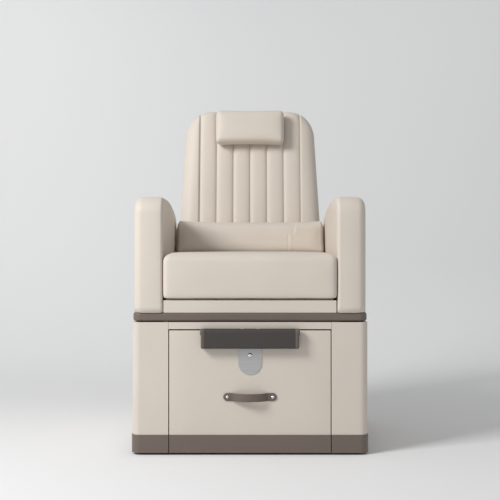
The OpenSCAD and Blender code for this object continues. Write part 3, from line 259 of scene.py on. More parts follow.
# %% Leatherette: pebble grain with painted shade in its hollows, slow changes of tone, and a roughness that varies with the mottle
skin, given, skin_out = make_group(
    "leatherette_skin",
    [("Tone", COLOUR, (0.67, 0.6, 0.52, 1)), ("Grain Size", FLOAT, 0.0014), ("Grain Depth", FLOAT, 0.25),
     ("Mottle", FLOAT, 0.04), ("Roughness", FLOAT, 0.5)], SURFACE)
spot = spot_on(skin)
warp = add(skin, "ShaderNodeTexNoise", {"Vector": spot, "Scale": 220.0, "Detail": 2.0}, "Color")
warped = maths(skin, "MULTIPLY_ADD", warp, (0.0009, 0.0009, 0.0009), spot, kind=VECTORS)
grain_scale = maths(skin, "DIVIDE", 1.0, given["Grain Size"])
pebbles = add(skin, "ShaderNodeTexVoronoi", {"Vector": warped, "Scale": grain_scale}, "Distance",
              feature="DISTANCE_TO_EDGE")
pebble_face = mapped(skin, pebbles, 0.0, 0.32, interpolation_type="SMOOTHSTEP")
mottle = mapped(skin, cloudy(skin, spot, 5.0, 4.0, Roughness=0.55), 0.3, 0.7, -0.5, 0.5)
# The tone follows the random mottle, and the hollows between the pebbles are painted up to 4.5 % darker: painted
# shade in the grain.
mottle_and_pebble_shade = maths(skin, "ADD", maths(skin, "MULTIPLY", mottle, given["Mottle"]),
                   mapped(skin, pebble_face, 0.0, 1.0, 0.955, 1.0))
feed(skin, skin_out, {
    "Color": scaled(skin, given["Tone"], mottle_and_pebble_shade),
    "Roughness": maths(skin, "MULTIPLY_ADD", mottle, 0.12, given["Roughness"]),
    "Normal": bumped(skin, pebble_face, given["Grain Depth"], 0.00012)})

# %% Lacquer: a nearly even colour, orange-peel bump, and scuffs that gather low down near the floor
coat, given, coat_out = make_group(
    "lacquer_coat",
    [("Tone", COLOUR, (0.16, 0.13, 0.12, 1)), ("Worn Tone", COLOUR, (0.3, 0.27, 0.24, 1)),
     ("Roughness", FLOAT, 0.42), ("Scuff Height", FLOAT, 0.02), ("Peel", FLOAT, 0.15)], SURFACE)
spot = spot_on(coat)
height = add(coat, "ShaderNodeSeparateXYZ", {0: spot}, "Z")
low_share = mapped(coat, height, 0.0, given["Scuff Height"], 1.0, 0.0, interpolation_type="SMOOTHSTEP")
scratches = mapped(coat, cloudy(coat, spot, 90.0, 6.0, Roughness=0.7), 0.56, 0.7)
scuff = maths(coat, "MULTIPLY", low_share, scratches)
clouded = scaled(coat, given["Tone"], mapped(coat, cloudy(coat, spot, 7.0, 3.0), 0.3, 0.7, 0.97, 1.03))
feed(coat, coat_out, {
    "Color": mixed(coat, scuff, clouded, given["Worn Tone"]),
    "Roughness": maths(coat, "MULTIPLY_ADD", scuff, 0.25, given["Roughness"]),
    "Normal": bumped(coat, cloudy(coat, spot, 420.0, 2.0), given["Peel"], 0.0001)})

# %% Brushed metal: noise drawn out along one direction, as a belt leaves it
brush, given, brush_out = make_group(
    "brush_lines",
    [("Tone", COLOUR, (0.6, 0.6, 0.6, 1)), ("Stretch", VECTOR, (8.0, 400.0, 900.0)),
     ("Roughness", FLOAT, 0.35), ("Depth", FLOAT, 0.2)], SURFACE)
spot = spot_on(brush)
lines = cloudy(brush, maths(brush, "MULTIPLY", spot, given["Stretch"], kind=VECTORS), 1.0, 3.0)
smear = mapped(brush, cloudy(brush, spot, 18.0, 3.0), 0.3, 0.7, -0.04, 0.05)
feed(brush, brush_out, {
    "Color": scaled(brush, given["Tone"], mapped(brush, lines, 0.3, 0.7, 0.93, 1.05)),
    "Roughness": maths(brush, "ADD", smear, given["Roughness"]),
    "Normal": bumped(brush, lines, given["Depth"], 0.00008)})

# %% Plywood: long streaks on the face
ply, given, ply_out = make_group(
    "plywood_face",
    [("Tone", COLOUR, (0.55, 0.42, 0.27, 1)), ("Dark Tone", COLOUR, (0.40, 0.28, 0.16, 1)),
     ("Stretch", VECTOR, (60.0, 4.0, 60.0))],
    [("Color", COLOUR), ("Height", FLOAT)])
drawn = maths(ply, "MULTIPLY", spot_on(ply), given["Stretch"], kind=VECTORS)
streaks = cloudy(ply, drawn, 1.6, 6.0, Roughness=0.6, Distortion=0.6)
feed(ply, ply_out, {
    "Color": mixed(ply, mapped(ply, streaks, 0.38, 0.68), given["Tone"], given["Dark Tone"]),
    "Height": streaks})

# %% [markdown]
# ## The finishes
#
# Each finish is a Principled BSDF fed by one shared effect. Colours are written as they look in plain light: the
# cream is that of the seat cushion's middle, the taupe the platform's and the charcoal the footrest bar's.


# %% Make the materials
def srgb(red, green, blue):
    """A colour from 0 to 255, as a linear colour with alpha."""
    def linear(value):
        value /= 255
        return value / 12.92 if value <= 0.04045 else ((value + 0.055) / 1.055) ** 2.4
    return (linear(red), linear(green), linear(blue), 1.0)


def make_material(name, effect=None, values=(), **plain):
    """A Principled material, fed by a shared effect where one is given; plain values go on the shader itself."""
    material = bpy.data.materials.new(name)
    material.use_nodes = True
    tree = material.node_tree
    shader = tree.nodes["Principled BSDF"]
    feed(tree, shader, {label.replace("_", " "): value for label, value in plain.items()})
    if effect is not None:
        node = tree.nodes.new("ShaderNodeGroup")
        node.node_tree = effect
        feed(tree, node, dict(values))
        feed(tree, shader, {"Base Color": node.outputs["Color"]})
        for label in ("Roughness", "Normal"):
            if label in node.outputs:
                feed(tree, shader, {label: node.outputs[label]})
        if "Height" in node.outputs:
            feed(tree, shader, {"Normal": bumped(tree, node.outputs["Height"], 0.25, 0.0003)})
    return material


def leather(name, tone, grain, depth, roughness, mottle, spec=0.5, **plain):
    return make_material(name, skin, {"Tone": srgb(*tone), "Grain Size": grain, "Grain Depth": depth,
                                      "Roughness": roughness, "Mottle": mottle}, Specular_IOR_Level=spec, **plain)


def coated(name, tone, worn, roughness, scuff, peel, spec=0.5, **plain):
    return make_material(name, coat, {"Tone": srgb(*tone), "Worn Tone": srgb(*worn), "Roughness": roughness,
                                      "Scuff Height": scuff, "Peel": peel},
                         Specular_IOR_Level=spec, **plain)


def metal(name, tone, stretch, roughness, depth=0.2, share=1.0):
    return make_material(name, brush, {"Tone": srgb(*tone), "Stretch": stretch, "Roughness": roughness,
                                       "Depth": depth}, Metallic=share)


finish = {
    "cream_leatherette": leather("cream_leatherette", (219, 209, 197), 0.0014, 0.25, 0.50, 0.035, 0.35,
                                 Sheen_Weight=0.04),
    "cream_panel": leather("cream_panel_leatherette", (216, 207, 195), 0.0014, 0.2, 0.46, 0.03, 0.35),
    "charcoal_pad": leather("charcoal_pad_skin", (68, 63, 61), 0.0011, 0.35, 0.66, 0.06, 0.35),
    "taupe_leather": leather("taupe_strap_leather", (106, 94, 86), 0.0009, 0.45, 0.52, 0.10, 0.45),
    "taupe_lacquer": coated("taupe_lacquer", (111, 99, 91), (146, 136, 126), 0.42, 0.02, 0.15, 0.4),
    "taupe_cap": coated("taupe_moulded_plastic", (93, 85, 80), (120, 112, 106), 0.48, 0.001, 0.3, 0.45),
    "black_plastic": coated("black_moulded_plastic", (42, 41, 41), (70, 68, 66), 0.55, 0.004, 0.35, 0.45),
    "white_acrylic": coated("white_acrylic", (238, 237, 233), (228, 226, 220), 0.16, 0.02, 0.04,
                            Coat_Weight=0.6, Coat_Roughness=0.05),
    "pipe_plastic": coated("white_pipe_plastic", (226, 226, 224), (200, 199, 195), 0.35, 0.02, 0.12),
    "grey_pipe": coated("grey_pipe_plastic", (148, 150, 152), (120, 121, 122), 0.4, 0.02, 0.15),
    "brushed_steel": metal("brushed_stainless", (181, 181, 182), (8.0, 400.0, 900.0), 0.48, share=0.8),
    "zinc_steel": metal("zinc_plate", (186, 189, 192), (120.0, 120.0, 120.0), 0.38),
    "chrome": metal("polished_chrome", (214, 215, 217), (40.0, 40.0, 40.0), 0.13, 0.02),
    "brass": metal("plain_brass", (206, 176, 112), (90.0, 90.0, 90.0), 0.28),
    "raw_board": make_material("birch_plywood", ply, Roughness=0.55),
}
# Dark paint for the drawer front's edges: painted shade that keeps the seams beside it black.
seam_shade_paint = coated("painted_seam_shade", (44, 41, 39), (60, 57, 54), 0.6, 0.001, 0.2, 0.3)
thread = leather("cream_thread", (203, 193, 179), 0.0006, 0.6, 0.6, 0.02)

# The paper carries painted shade: its floor is painted darker on the left near the chair, where the key lamp is
# nearest, and its wall is painted darker on the right, away from the key lamp.
PAINTED_SHADE_TONES = ((0.84, 0.99), (0.95, 0.99), (0.97, 0.90))  # left and right, on the near floor, the far floor and the wall
sweep_shade_material = make_material("sweep_paper_painted_shade", Roughness=0.95, Specular_IOR_Level=0.0)
paper = sweep_shade_material.node_tree
side_of = add(paper, "ShaderNodeSeparateXYZ", {0: spot_on(paper)}).node.outputs
share = mapped(paper, side_of["X"], -1.8, 1.8)
near_painted_shade, far_painted_shade, wall_painted_shade = [mixed(paper, share, (left, left, left, 1), (right, right, right, 1))
                                  for left, right in PAINTED_SHADE_TONES]
# The painted shade blends from the near floor to the far floor, then up the wall.
floor_painted_shade = mixed(paper, mapped(paper, side_of["Y"], 0.9, 2.0), near_painted_shade, far_painted_shade)
feed(paper, paper.nodes["Principled BSDF"],
     {"Base Color": mixed(paper, mapped(paper, side_of["Z"], 0.02, 0.6), floor_painted_shade, wall_painted_shade)})
sweep.data.materials.append(sweep_shade_material)

slot_of_node = {s["node"]: s["material_slot"] for s in frame["record"]["subparts"]}
for name, node_object in frame["nodes"].items():
    node_object.data.materials.clear()
    node_object.data.materials.append(finish[slot_of_node[name]])
print(len(frame["nodes"]), "CAD nodes have a finish")


def dress(piece, slot, body, node=None, look=None):
    """Fixes a piece to its body; where it stands for a node, gives it the finish of look or slot and hides that node.
    """
    if node:
        piece.data.materials.clear()
        piece.data.materials.append(finish[look or slot])
        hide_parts(node)
    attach(piece, body)
    return piece


# %% [markdown]
# ## Boards with softened edges
#
# A real board never ends in a knife edge. The frame's boards are exact solids, so each visible one is copied, its
# loose triangles are merged, and a Bevel modifier rounds its sharp edges. The copy stands for the board.



# %% Round the visible boards
SHARP, CREASE, ROUND_CREASE = math.radians(40), math.radians(35), math.radians(50)
FOOT_BAND = 0.0005
PLINTH_FOOT_R, PLINTH_LIFT = 0.010, 0.002


def merged_copy(node, name):
    """A copy of a CAD node's mesh with its doubles merged and its flat faces joined."""
    mesh = frame["nodes"][node].data.copy()
    mesh.name = name
    work = bmesh.new()
    work.from_mesh(mesh)
    bmesh.ops.remove_doubles(work, verts=work.verts, dist=0.00002)
    bmesh.ops.dissolve_limit(work, angle_limit=math.radians(0.5), verts=work.verts, edges=work.edges)
    work.to_mesh(mesh)
    work.free()
    return placed(name, mesh)


def baked(piece):
    """Applies a piece's modifiers and gives the same object its final mesh."""
    bpy.context.view_layer.update()
    final = bpy.data.meshes.new_from_object(piece.evaluated_get(bpy.context.evaluated_depsgraph_get()))
    old = piece.data
    piece.modifiers.clear()
    piece.data = final
    final.name = piece.name
    bpy.data.meshes.remove(old)
    return piece


def bevelled(piece, radius, segments):
    """Rounds the sharp edges, then shades smoothly: large faces stay flat and creases stay where edges are sharp."""
    bevel = piece.modifiers.new("rounded_edges", "BEVEL")
    bevel.width, bevel.segments = radius, segments
    bevel.limit_method, bevel.angle_limit = "ANGLE", SHARP
    baked(piece)
    piece.data.polygons.foreach_set("use_smooth", [True] * len(piece.data.polygons))
    piece.data.set_sharp_from_angle(angle=CREASE)
    weighted = piece.modifiers.new("flat_faces", "WEIGHTED_NORMAL")
    weighted.keep_sharp = True
    return baked(piece)


def soften(node, radius, body, segments=3, look=None):
    """A rounded copy of a board that stands for it."""
    piece = bevelled(merged_copy(node, node + "_wrapped"), radius * MM, segments)
    return dress(piece, slot_of_node[node], body, node, look=look)


for node, radius, body, look in (
        ("side_casing_left", 1.4, "base", None), ("side_casing_right", 1.4, "base", None),
        ("top_rail", 1.5, "base", None), ("rear_panel", 2.0, "base", None),
        ("seat_rail", 1.6, "base", "cream_leatherette"), ("plinth_rear", 0.6, "base", None),
        ("platform", 0.6, "base", None), ("back_shell", 2.5, "backrest", None)):
    soften(node, radius, body, look=look)
drawer_strip = soften("drawer_plinth", 0.8, "drawer")
strip_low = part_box("drawer_plinth")[0].z
for v in drawer_strip.data.vertices:
    if v.co.z < strip_low + 2 * PLINTH_LIFT:
        v.co.z += PLINTH_LIFT


def soften_plinth(node, side):
    """A side plinth whose outer lower edge has a wide round and whose other edges stay nearly crisp."""
    piece = merged_copy(node, node + "_wrapped")
    low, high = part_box(node)
    outer_x = high.x if side > 0 else low.x
    work = bmesh.new()
    work.from_mesh(piece.data)
    for v in work.verts:
        if v.co.z < low.z + FOOT_BAND:
            v.co.z += PLINTH_LIFT
    rims = [e for e in work.edges if all(v.co.z < low.z + PLINTH_LIFT + FOOT_BAND for v in e.verts)
            and (any(abs(v.co.x - outer_x) < 0.02 for v in e.verts)
                 or all(abs(v.co.y - low.y) < 0.002 for v in e.verts))]
    bmesh.ops.bevel(work, geom=rims, offset=PLINTH_FOOT_R, offset_type="OFFSET", segments=6, profile=0.5,
                    affect="EDGES", clamp_overlap=True)
    work.to_mesh(piece.data)
    work.free()
    return dress(bevelled(piece, 0.6 * MM, 2), slot_of_node[node], "base", node)


soften_plinth("plinth_left", -1)
soften_plinth("plinth_right", 1)
print("boards rounded")

# %% [markdown]
# ## Soft forms
#
# A foam cushion is a box with rounded edges and crowned faces. A grid is wrapped round the box: every point is
# pulled back to a smaller box and pushed out again by the edge radius, so the edges are true curves.


# %% The wrapped box
def spread(half, radius, arc_steps, flat_steps):
    """Places of the grid lines along one side: close together over the radii and even between them."""
    bend = [half - radius + radius * math.tan(math.radians(45 * i / arc_steps)) for i in range(arc_steps + 1)]
    flat = [(-1 + 2 * i / flat_steps) * (half - radius) for i in range(1, flat_steps)]
    return [-v for v in reversed(bend)] + flat + bend


def box_grid(xs, ys, zs):
    """Points and faces of a closed box whose six sides are ruled by the given lines."""
    index, points, faces = {}, [], []

    def point(p):
        key = tuple(round(v, 9) for v in p)
        if key not in index:
            index[key] = len(points)
            points.append(p)
        return index[key]

    def side(us, vs, at, flip):
        for i in range(len(us) - 1):
            for j in range(len(vs) - 1):
                quad = [point(at(us[i], vs[j])), point(at(us[i + 1], vs[j])),
                        point(at(us[i + 1], vs[j + 1])), point(at(us[i], vs[j + 1]))]
                faces.append(quad[::-1] if flip else quad)

    side(xs, ys, lambda u, v: (u, v, zs[-1]), False)
    side(xs, ys, lambda u, v: (u, v, zs[0]), True)
    side(xs, zs, lambda u, v: (u, ys[0], v), False)
    side(xs, zs, lambda u, v: (u, ys[-1], v), True)
    side(ys, zs, lambda u, v: (xs[-1], u, v), False)
    side(ys, zs, lambda u, v: (xs[0], u, v), True)
    return np.array(points, float), faces


def wrapped_box(half, radius, flat, arc_steps):
    """A rounded box about the origin; its radius is one number, or three for x, y and z."""
    half, radius = np.array(half, float), np.ones(3) * np.array(radius, float)
    widest = np.minimum(radius, 0.98 * half)
    points, faces = box_grid(*[spread(half[k], widest[k], arc_steps, flat[k]) for k in range(3)])
    core = np.clip(points, -(half - radius), half - radius)
    out = (points - core) / radius
    length = np.linalg.norm(out, axis=1)
    length[length == 0] = 1
    return core + out / length[:, None] * radius, faces


def closed_loft(rings):
    """Points and faces through closed rings of equal length, with a fan at each end."""
    count = len(rings[0])
    points = [p for ring in rings for p in ring]
    pairs = [(j, (j + 1) % count) for j in range(count)]
    faces = [(i * count + j, (i + 1) * count + j, (i + 1) * count + k, i * count + k)
             for i in range(len(rings) - 1) for j, k in pairs]
    for ring, first in ((0, 0), (len(rings) - 1, (len(rings) - 1) * count)):
        middle = len(points)
        points.append(tuple(sum(p[k] for p in rings[ring]) / count for k in range(3)))
        faces += [(middle, first + j, first + k) if ring == 0 else (middle, first + k, first + j) for j, k in pairs]
    return points, faces


def turned_over(faces):
    """The same faces seen from their other side."""
    return [f[::-1] for f in faces]


def slow_noise(points, size, seed):
    """A smooth wave between -1 and 1 over the points, the same on every run."""
    return np.array([noise.noise(Vector(p) / size + Vector((seed, seed * 1.7, seed * 0.3))) for p in points])


# %% [markdown]
# ## Covers that swell
#
# A sewn cover is a skin that foam presses outwards: its faces rise and its edges stay where they are sewn.
# Blender's Cloth with pressure finds that shape by itself. The block gets an even skin of small squares and swells
# for twenty frames without gravity. Each point's move is capped at a few millimetres and averaged with its
# neighbours', because new foam under a taut cover shows no ripples, and the block is fitted to its size again.


# %% Let a block swell under its cover
SWELL_FRAMES = 20
CLOTH = {"quality": 6, "mass": 0.3, "tension_stiffness": 18, "compression_stiffness": 18, "shear_stiffness": 8,
         "bending_stiffness": 0.6, "use_pressure": True, "uniform_pressure_force": 4.0}


def smoothed(moves, edges, rounds):
    """Moves averaged with those of the neighbouring points, a number of times over."""
    share = np.zeros(len(moves))
    np.add.at(share, edges[:, 0], 1)
    np.add.at(share, edges[:, 1], 1)
    for _ in range(rounds):
        around = np.stack([np.bincount(edges[:, 0], moves[edges[:, 1], k], len(moves))
                           + np.bincount(edges[:, 1], moves[edges[:, 0], k], len(moves)) for k in range(3)], 1)
        moves = 0.5 * moves + 0.5 * around / share[:, None]
    return moves


def fitted(points, half):
    """Scales each side of a block about the origin so that it just fills its half size."""
    points = points.copy()
    for k in range(3):
        for sign in (-1, 1):
            on_side = points[:, k] * sign > 0
            points[on_side, k] *= half[k] / np.abs(points[on_side, k]).max()
    return points


def swell(name, points, faces, voxel, reach, rounds, half):
    """Points and faces of a closed block after its cover has swelled by up to reach metres."""
    block = new_mesh(name, points, faces)
    even_skin = block.modifiers.new("even_skin", "REMESH")
    even_skin.mode, even_skin.voxel_size = "VOXEL", voxel
    baked(block)
    count = len(block.data.vertices)
    start, end = np.empty(3 * count), np.empty(3 * count)
    block.data.vertices.foreach_get("co", start)
    edges = np.empty(2 * len(block.data.edges), int)
    block.data.edges.foreach_get("vertices", edges)
    cloth = block.modifiers.new("cover", "CLOTH")
    for key, value in CLOTH.items():
        setattr(cloth.settings, key, value)
    cloth.settings.effector_weights.gravity = 0
    cloth.collision_settings.use_collision = False
    cloth.point_cache.frame_start, cloth.point_cache.frame_end = 1, SWELL_FRAMES
    for number in range(1, SWELL_FRAMES + 1):
        bpy.context.scene.frame_set(number)
    swollen = block.evaluated_get(bpy.context.evaluated_depsgraph_get()).to_mesh()
    swollen.vertices.foreach_get("co", end)
    move = (end - start).reshape(-1, 3)
    length = np.linalg.norm(move, axis=1, keepdims=True)
    move *= reach * np.tanh(length / reach) / np.maximum(length, 1e-9)
    move = smoothed(move, edges.reshape(-1, 2), rounds)
    skin_faces = [tuple(polygon.vertices) for polygon in block.data.polygons]
    block.modifiers.clear()
    bpy.context.scene.frame_set(1)
    old = block.data
    bpy.data.objects.remove(block)
    bpy.data.meshes.remove(old)
    print(name, count, "points, moved", round(1000 * float(length.mean()), 1), "mm before the cap and",
          round(1000 * float(np.linalg.norm(move, axis=1).max()), 1), "mm at most after it")
    return fitted(start.reshape(-1, 3) + move, half), skin_faces


def finer(piece):
    """One level of subdivision, applied, where the cover came from a cloth."""
    smooth = piece.modifiers.new("finer_skin", "SUBSURF")
    smooth.levels = smooth.render_levels = 1
    baked(piece)
    piece.data.polygons.foreach_set("use_smooth", [True] * len(piece.data.polygons))
    return piece


# %% [markdown]
# ## The seat cushion
#
# A thick foam block with generous upper corners, tighter lower ones and sides that swell a little. It is a stack
# of rounded outlines, so each rim has a radius of its own. In the photograph it has settled a little lower than its
# solid, and it presses into the arms at both sides.

# %% Seat cushion
SEAT_SWELL, SEAT_SETTLE, SEAT_CROWN, SEAT_REAR = 0.0035, 0.0065, 0.002, 0.0135
SEAT_VOXEL, SEAT_ROUNDS, SEAT_SIDE = 0.0075, 30, 0.2946
LOW_ROLL, TOP_ROLL, TOP_DROP, UPRIGHT_R = 0.008, 0.036, 0.028, 0.018
seat_low, seat_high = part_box("seat_cushion")
seat_high.z -= SEAT_SETTLE
seat_mid = (seat_low + seat_high) / 2
seat_half = (seat_high - seat_low) / 2 - Vector((-0.0022, 0.002, 0.0015))


def block_outline(half_x, half_y, radius, runs=(26, 22), steps=7):
    """A rounded rectangle about the origin with even points along its straight runs."""
    outline = []
    for sx, sy, start, dx, dy in ((1, 1, 0, -1, 0), (-1, 1, 90, 0, -1), (-1, -1, 180, 1, 0), (1, -1, 270, 0, 1)):
        cx, cy = sx * (half_x - radius), sy * (half_y - radius)
        corner = [(cx + radius * c, cy + radius * s) for c, s in arc(start, start + 90, steps)]
        span, count = (2 * (half_x - radius), runs[0]) if dx else (2 * (half_y - radius), runs[1])
        x, y = corner[-1]
        outline += corner + [(x + dx * span * i / count, y + dy * span * i / count) for i in range(1, count)]
    return outline


def seat_levels(half):
    """(inset, height) pairs from the middle of the underside over the rims to the middle of the top."""
    levels = [(inset, -half.z) for inset in (0.23, 0.17, 0.11, 0.06, 0.03)]
    levels += [(LOW_ROLL * (1 - s), -half.z + LOW_ROLL * (1 - c)) for c, s in arc(0, 90, 5)]
    base, crest = levels[-1][1], half.z - TOP_DROP
    levels += [(0, base + (crest - base) * i / 10) for i in range(1, 11)]
    levels += [(TOP_ROLL * (1 - c), crest + TOP_DROP * s) for c, s in arc(0, 90, 9)[1:]]
    return levels + [(inset, half.z) for inset in (0.055, 0.08, 0.11, 0.15, 0.19, 0.23)]


rings = []
for inset, z in seat_levels(seat_half):
    outline = block_outline(seat_half.x - inset, seat_half.y - inset, max(UPRIGHT_R - 0.5 * inset, 0.010))
    rings.append([(x, y, z) for x, y in outline])
points, faces = closed_loft(rings)
points, faces = swell("seat_swell", np.array(points, float), faces, SEAT_VOXEL, SEAT_SWELL, SEAT_ROUNDS, seat_half)
u, v, w = (points[:, k] / seat_half[k] for k in range(3))
top = np.clip(w, 0, 1)
points[:, 2] += SEAT_CROWN * np.clip(1 - u ** 2, 0, 1) * np.clip(1 - v ** 4, 0, 1) * top ** 2
points[:, 1] -= 0.003 * np.clip(-v, 0, 1) ** 6 * np.clip(1 - u ** 4, 0, 1) * np.clip(1 - w ** 2, 0, 1)
points[:, 2] += 0.0010 * slow_noise(points, 0.16, 3.1) * top
points[:, 1] += 0.0010 * slow_noise(points, 0.14, 8.4) * (v < -0.5)
limit = np.array([SEAT_SIDE, seat_half.y + 0.004, 10])
points = np.clip(points, -limit, limit)
points[:, 2] -= 0.0022 * np.clip((-0.75 - w) / 0.25, 0, 1)
points[:, 2] = np.maximum(points[:, 2], seat_low.z - seat_mid.z + 0.0002)
points[:, 1] += SEAT_REAR * np.clip(points[:, 1] / seat_half.y, 0, 1)
points += np.array(seat_mid)
seat_cover = finer(new_mesh("seat_cushion_cover", points, faces))
dress(seat_cover, "cream_leatherette", "base", "seat_cushion")
print("seat cushion", len(points), "points")

# %% [markdown]
# ## The arms
#
# Each arm is a board wrapped in foam: a boxing strip runs round it and a panel closes each side. The seam between
# the strip and the inner panel is the fine line beside the seat. The arm is built as rings: its outline from the
# side, drawn in by a little more at each step over the rounded edge, then across the strip.


# %% Arms
ARM_LEVEL, ARM_TOP_R, ARM_FRONT_R, ARM_REAR_R = 0.180, 1.900, 0.056, 0.070
ARM_INNER_R, ARM_OUTER_R = 0.009, 0.028
ARM_CROWN, ARM_CROWN_REACH, SEAM_NIP = 0.0012, 0.12, 0.0011
FACE_INSETS = (0.150, 0.125, 0.100, 0.075, 0.055, 0.040)


def arm_top(y, y0, z1):
    """Height of the arm's top line at y: level at first, then falling on a wide curve."""
    return z1 - max(0.0, y - y0 - ARM_LEVEL) ** 2 / (2 * ARM_TOP_R)


def arm_outline(y0, y1, z0, z1, inset, lifted=False):
    """The arm seen from the side, drawn in by inset; a lifted one is drawn in at its foot too."""
    front_r, rear_r = max(ARM_FRONT_R - inset, 0.002), max(ARM_REAR_R - inset, 0.002)
    foot_z = z0 + (inset if lifted else min(max(inset, 0.0), 0.0012))
    front, rear = y0 + inset, y1 - inset
    lean = 0.0
    for _ in range(4):
        join_y = rear - rear_r + rear_r * math.sin(lean)
        lean = math.atan((join_y - y0 - ARM_LEVEL) / ARM_TOP_R)
    rear_z = arm_top(join_y, y0, z1) - inset / math.cos(lean) - rear_r * math.cos(lean)
    front_z = z1 - inset - front_r
    points = [(front, foot_z + (front_z - foot_z) * i / 16) for i in range(16)]
    points += [(front + front_r + front_r * c, front_z + front_r * s) for c, s in arc(180, 90, 14)]
    for i in range(1, 26):
        y = front + front_r + (join_y - front - front_r) * i / 26
        points.append((y, arm_top(y, y0, z1) - inset))
    for i in range(17):
        turn = (math.pi / 2 - lean) * (1 - i / 16)
        points.append((rear - rear_r + rear_r * math.cos(turn), rear_z + rear_r * math.sin(turn)))
    points += [(rear, rear_z + (foot_z - rear_z) * i / 12) for i in range(1, 12)]
    return points + [(rear + (front - rear) * i / 22, foot_z) for i in range(22)]


def arm_steps(thick):
    """(distance across the arm, inset of the outline) from the middle of the inner face to that of the outer."""
    steps = [(0.0, inset) for inset in FACE_INSETS]
    for i, (c, s) in enumerate(arc(0, 90, 6)):
        nip = SEAM_NIP if i == 1 else 0.0
        steps.append((ARM_INNER_R * (1 - c) + nip, ARM_INNER_R * (1 - s) + nip))
    strip = thick - ARM_INNER_R - ARM_OUTER_R
    steps += [(ARM_INNER_R + strip * i / 8, -0.0010 * (1 - (2 * i / 8 - 1) ** 2)) for i in range(1, 8)]
    steps += [(thick - ARM_OUTER_R + ARM_OUTER_R * s, ARM_OUTER_R * (1 - c)) for c, s in arc(0, 90, 9)]
    return steps + [(thick, inset) for inset in reversed(FACE_INSETS)]


def make_arm(node, side):
    """An upholstered arm; side is -1 for the left one in the picture and 1 for the right one."""
    low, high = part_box(node)
    thick, inner_x = high.x - low.x, min(abs(low.x), abs(high.x))
    rings = []
    rail_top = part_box("seat_rail")[1].z
    for across, inset in arm_steps(thick):
        ring = []
        for y, z in arm_outline(low.y, high.y, low.z, high.z, inset, inset >= FACE_INSETS[-1]):
            on_rail = unit((rail_top + 0.004 - z) / 0.010)
            bulge = 0.0018 * unit((y - low.y) / 0.3) * unit((z - rail_top - 0.1) / 0.1)
            x = inner_x + across - max(0.0, 1 - across / 0.030) * (0.0018 + 0.0022 * on_rail + bulge)
            if across > thick - 0.0001:
                x += ARM_CROWN * (1 - (1 - unit(min(inset, z - low.z) / ARM_CROWN_REACH)) ** 2)
            ring.append((side * x, y, z))
        rings.append(ring if side > 0 else ring[::-1])
    return dress(new_mesh(node + "_cover", *closed_loft(rings)), "cream_leatherette", "base", node)


for node, side in (("arm_left", -1), ("arm_right", 1)):
    print(make_arm(node, side).name, "made")

# %% [markdown]
# ## The backrest
#
# Six channels are sewn into the middle of the back and a bolster runs up each side. A channel is flat in its
# middle and turns sharply into the seam, which makes the thin dark lines. The back is a stack of rings, one for
# each height, in the frame of the leaning back.

# %% The leaning frame of the back
pivot = Vector(joint("recline")["pos_m"])
up = -Vector(joint("head_pillow_drop")["axis"])
back_out = Vector((0, up.z, -up.y))
back_frame = Matrix.Translation(pivot) @ Matrix(((1, 0, 0, 0), (0, back_out.y, up.y, 0),
                                                 (0, back_out.z, up.z, 0), (0, 0, 0, 1)))


def on_back(points):
    """Takes points from the back's own frame, in metres, to the row frame."""
    points = np.array(points, float)
    turn = np.array(back_frame)[:3, :3]
    return points @ turn.T + np.array(back_frame)[:3, 3]


BACK_LOW, BACK_HIGH = 0.024, 0.728
BACK_FOOT_HALF, BACK_TOP_HALF = 0.291, 0.2615
BOLSTER, CHANNEL = 0.061, 0.2005 / 3
CORNER, CORNER_IN = 0.110, 0.088
SEAM_DEPTH, BACK_DEPTH, BACK_EDGE, BOLSTER_ROLL = 0.009, 0.050, 0.022, 2.2
SEAM_WIDTH, BACK_WAVE = 0.007, (0.0008, 0.12, 5.2)
CHANNEL_SHARES = (0, 0.012, 0.03, 0.06, 0.11, 0.2, 0.35, 0.5, 0.65, 0.8, 0.89, 0.94, 0.97, 0.988)
BOLSTER_SHARES = (0, 0.012, 0.03, 0.06, 0.1, 0.15, 0.22, 0.3, 0.38, 0.46, 0.54, 0.62, 0.69, 0.76, 0.82, 0.87,
                  0.915, 0.95, 0.977, 0.993, 1.0)


def back_half(s):
    """Half width of the back at height s."""
    corner = BACK_HIGH - CORNER
    if s <= corner:
        return BACK_FOOT_HALF + (BACK_TOP_HALF - BACK_FOOT_HALF) * (s - BACK_LOW) / (corner - BACK_LOW)
    t = min(1, (s - corner) / CORNER)
    return BACK_TOP_HALF - CORNER_IN * (1 - math.sqrt(max(0, 1 - t * t)))


def channel_rise(t):
    """Height of a channel over its seam, from 0 to 1, at the share t of its width."""
    return (1 - abs(2 * t - 1) ** 3.2) ** 0.62


def back_section(s, deep):
    """Front of the back at height s from side to side, as (x, depth) pairs."""
    half = back_half(s)
    seam_x = min(3 * CHANNEL, half - 0.004)
    fade = min(1.0, (half - seam_x) / 0.022)

    def roll(x):
        return deep * (1 - unit((x - half + BOLSTER) / BOLSTER) ** BOLSTER_ROLL) ** (1 / BOLSTER_ROLL)

    right = []
    for channel in range(3):
        start, end = channel * CHANNEL, min((channel + 1) * CHANNEL, seam_x)
        for t in CHANNEL_SHARES:
            x = start + t * (end - start)
            dip = SEAM_DEPTH * (1 - channel_rise(t))
            right.append((x, roll(x) - dip * (fade if channel == 2 and t > 0.5 else 1)))
    for t in BOLSTER_SHARES:
        x = seam_x + t * (half - seam_x)
        dip = SEAM_DEPTH * fade * max(0.0, 1 - (x - seam_x) / SEAM_WIDTH) ** 2.4
        right.append((x, max(roll(x) - dip, 0.0004)))
    return [(-x, d) for x, d in reversed(right[1:])] + right


def waved(points):
    """The back's points after the slow unevenness of its foam."""
    size, reach, seed = BACK_WAVE
    points[:, 1] += size * slow_noise(points, reach, seed)
    return points


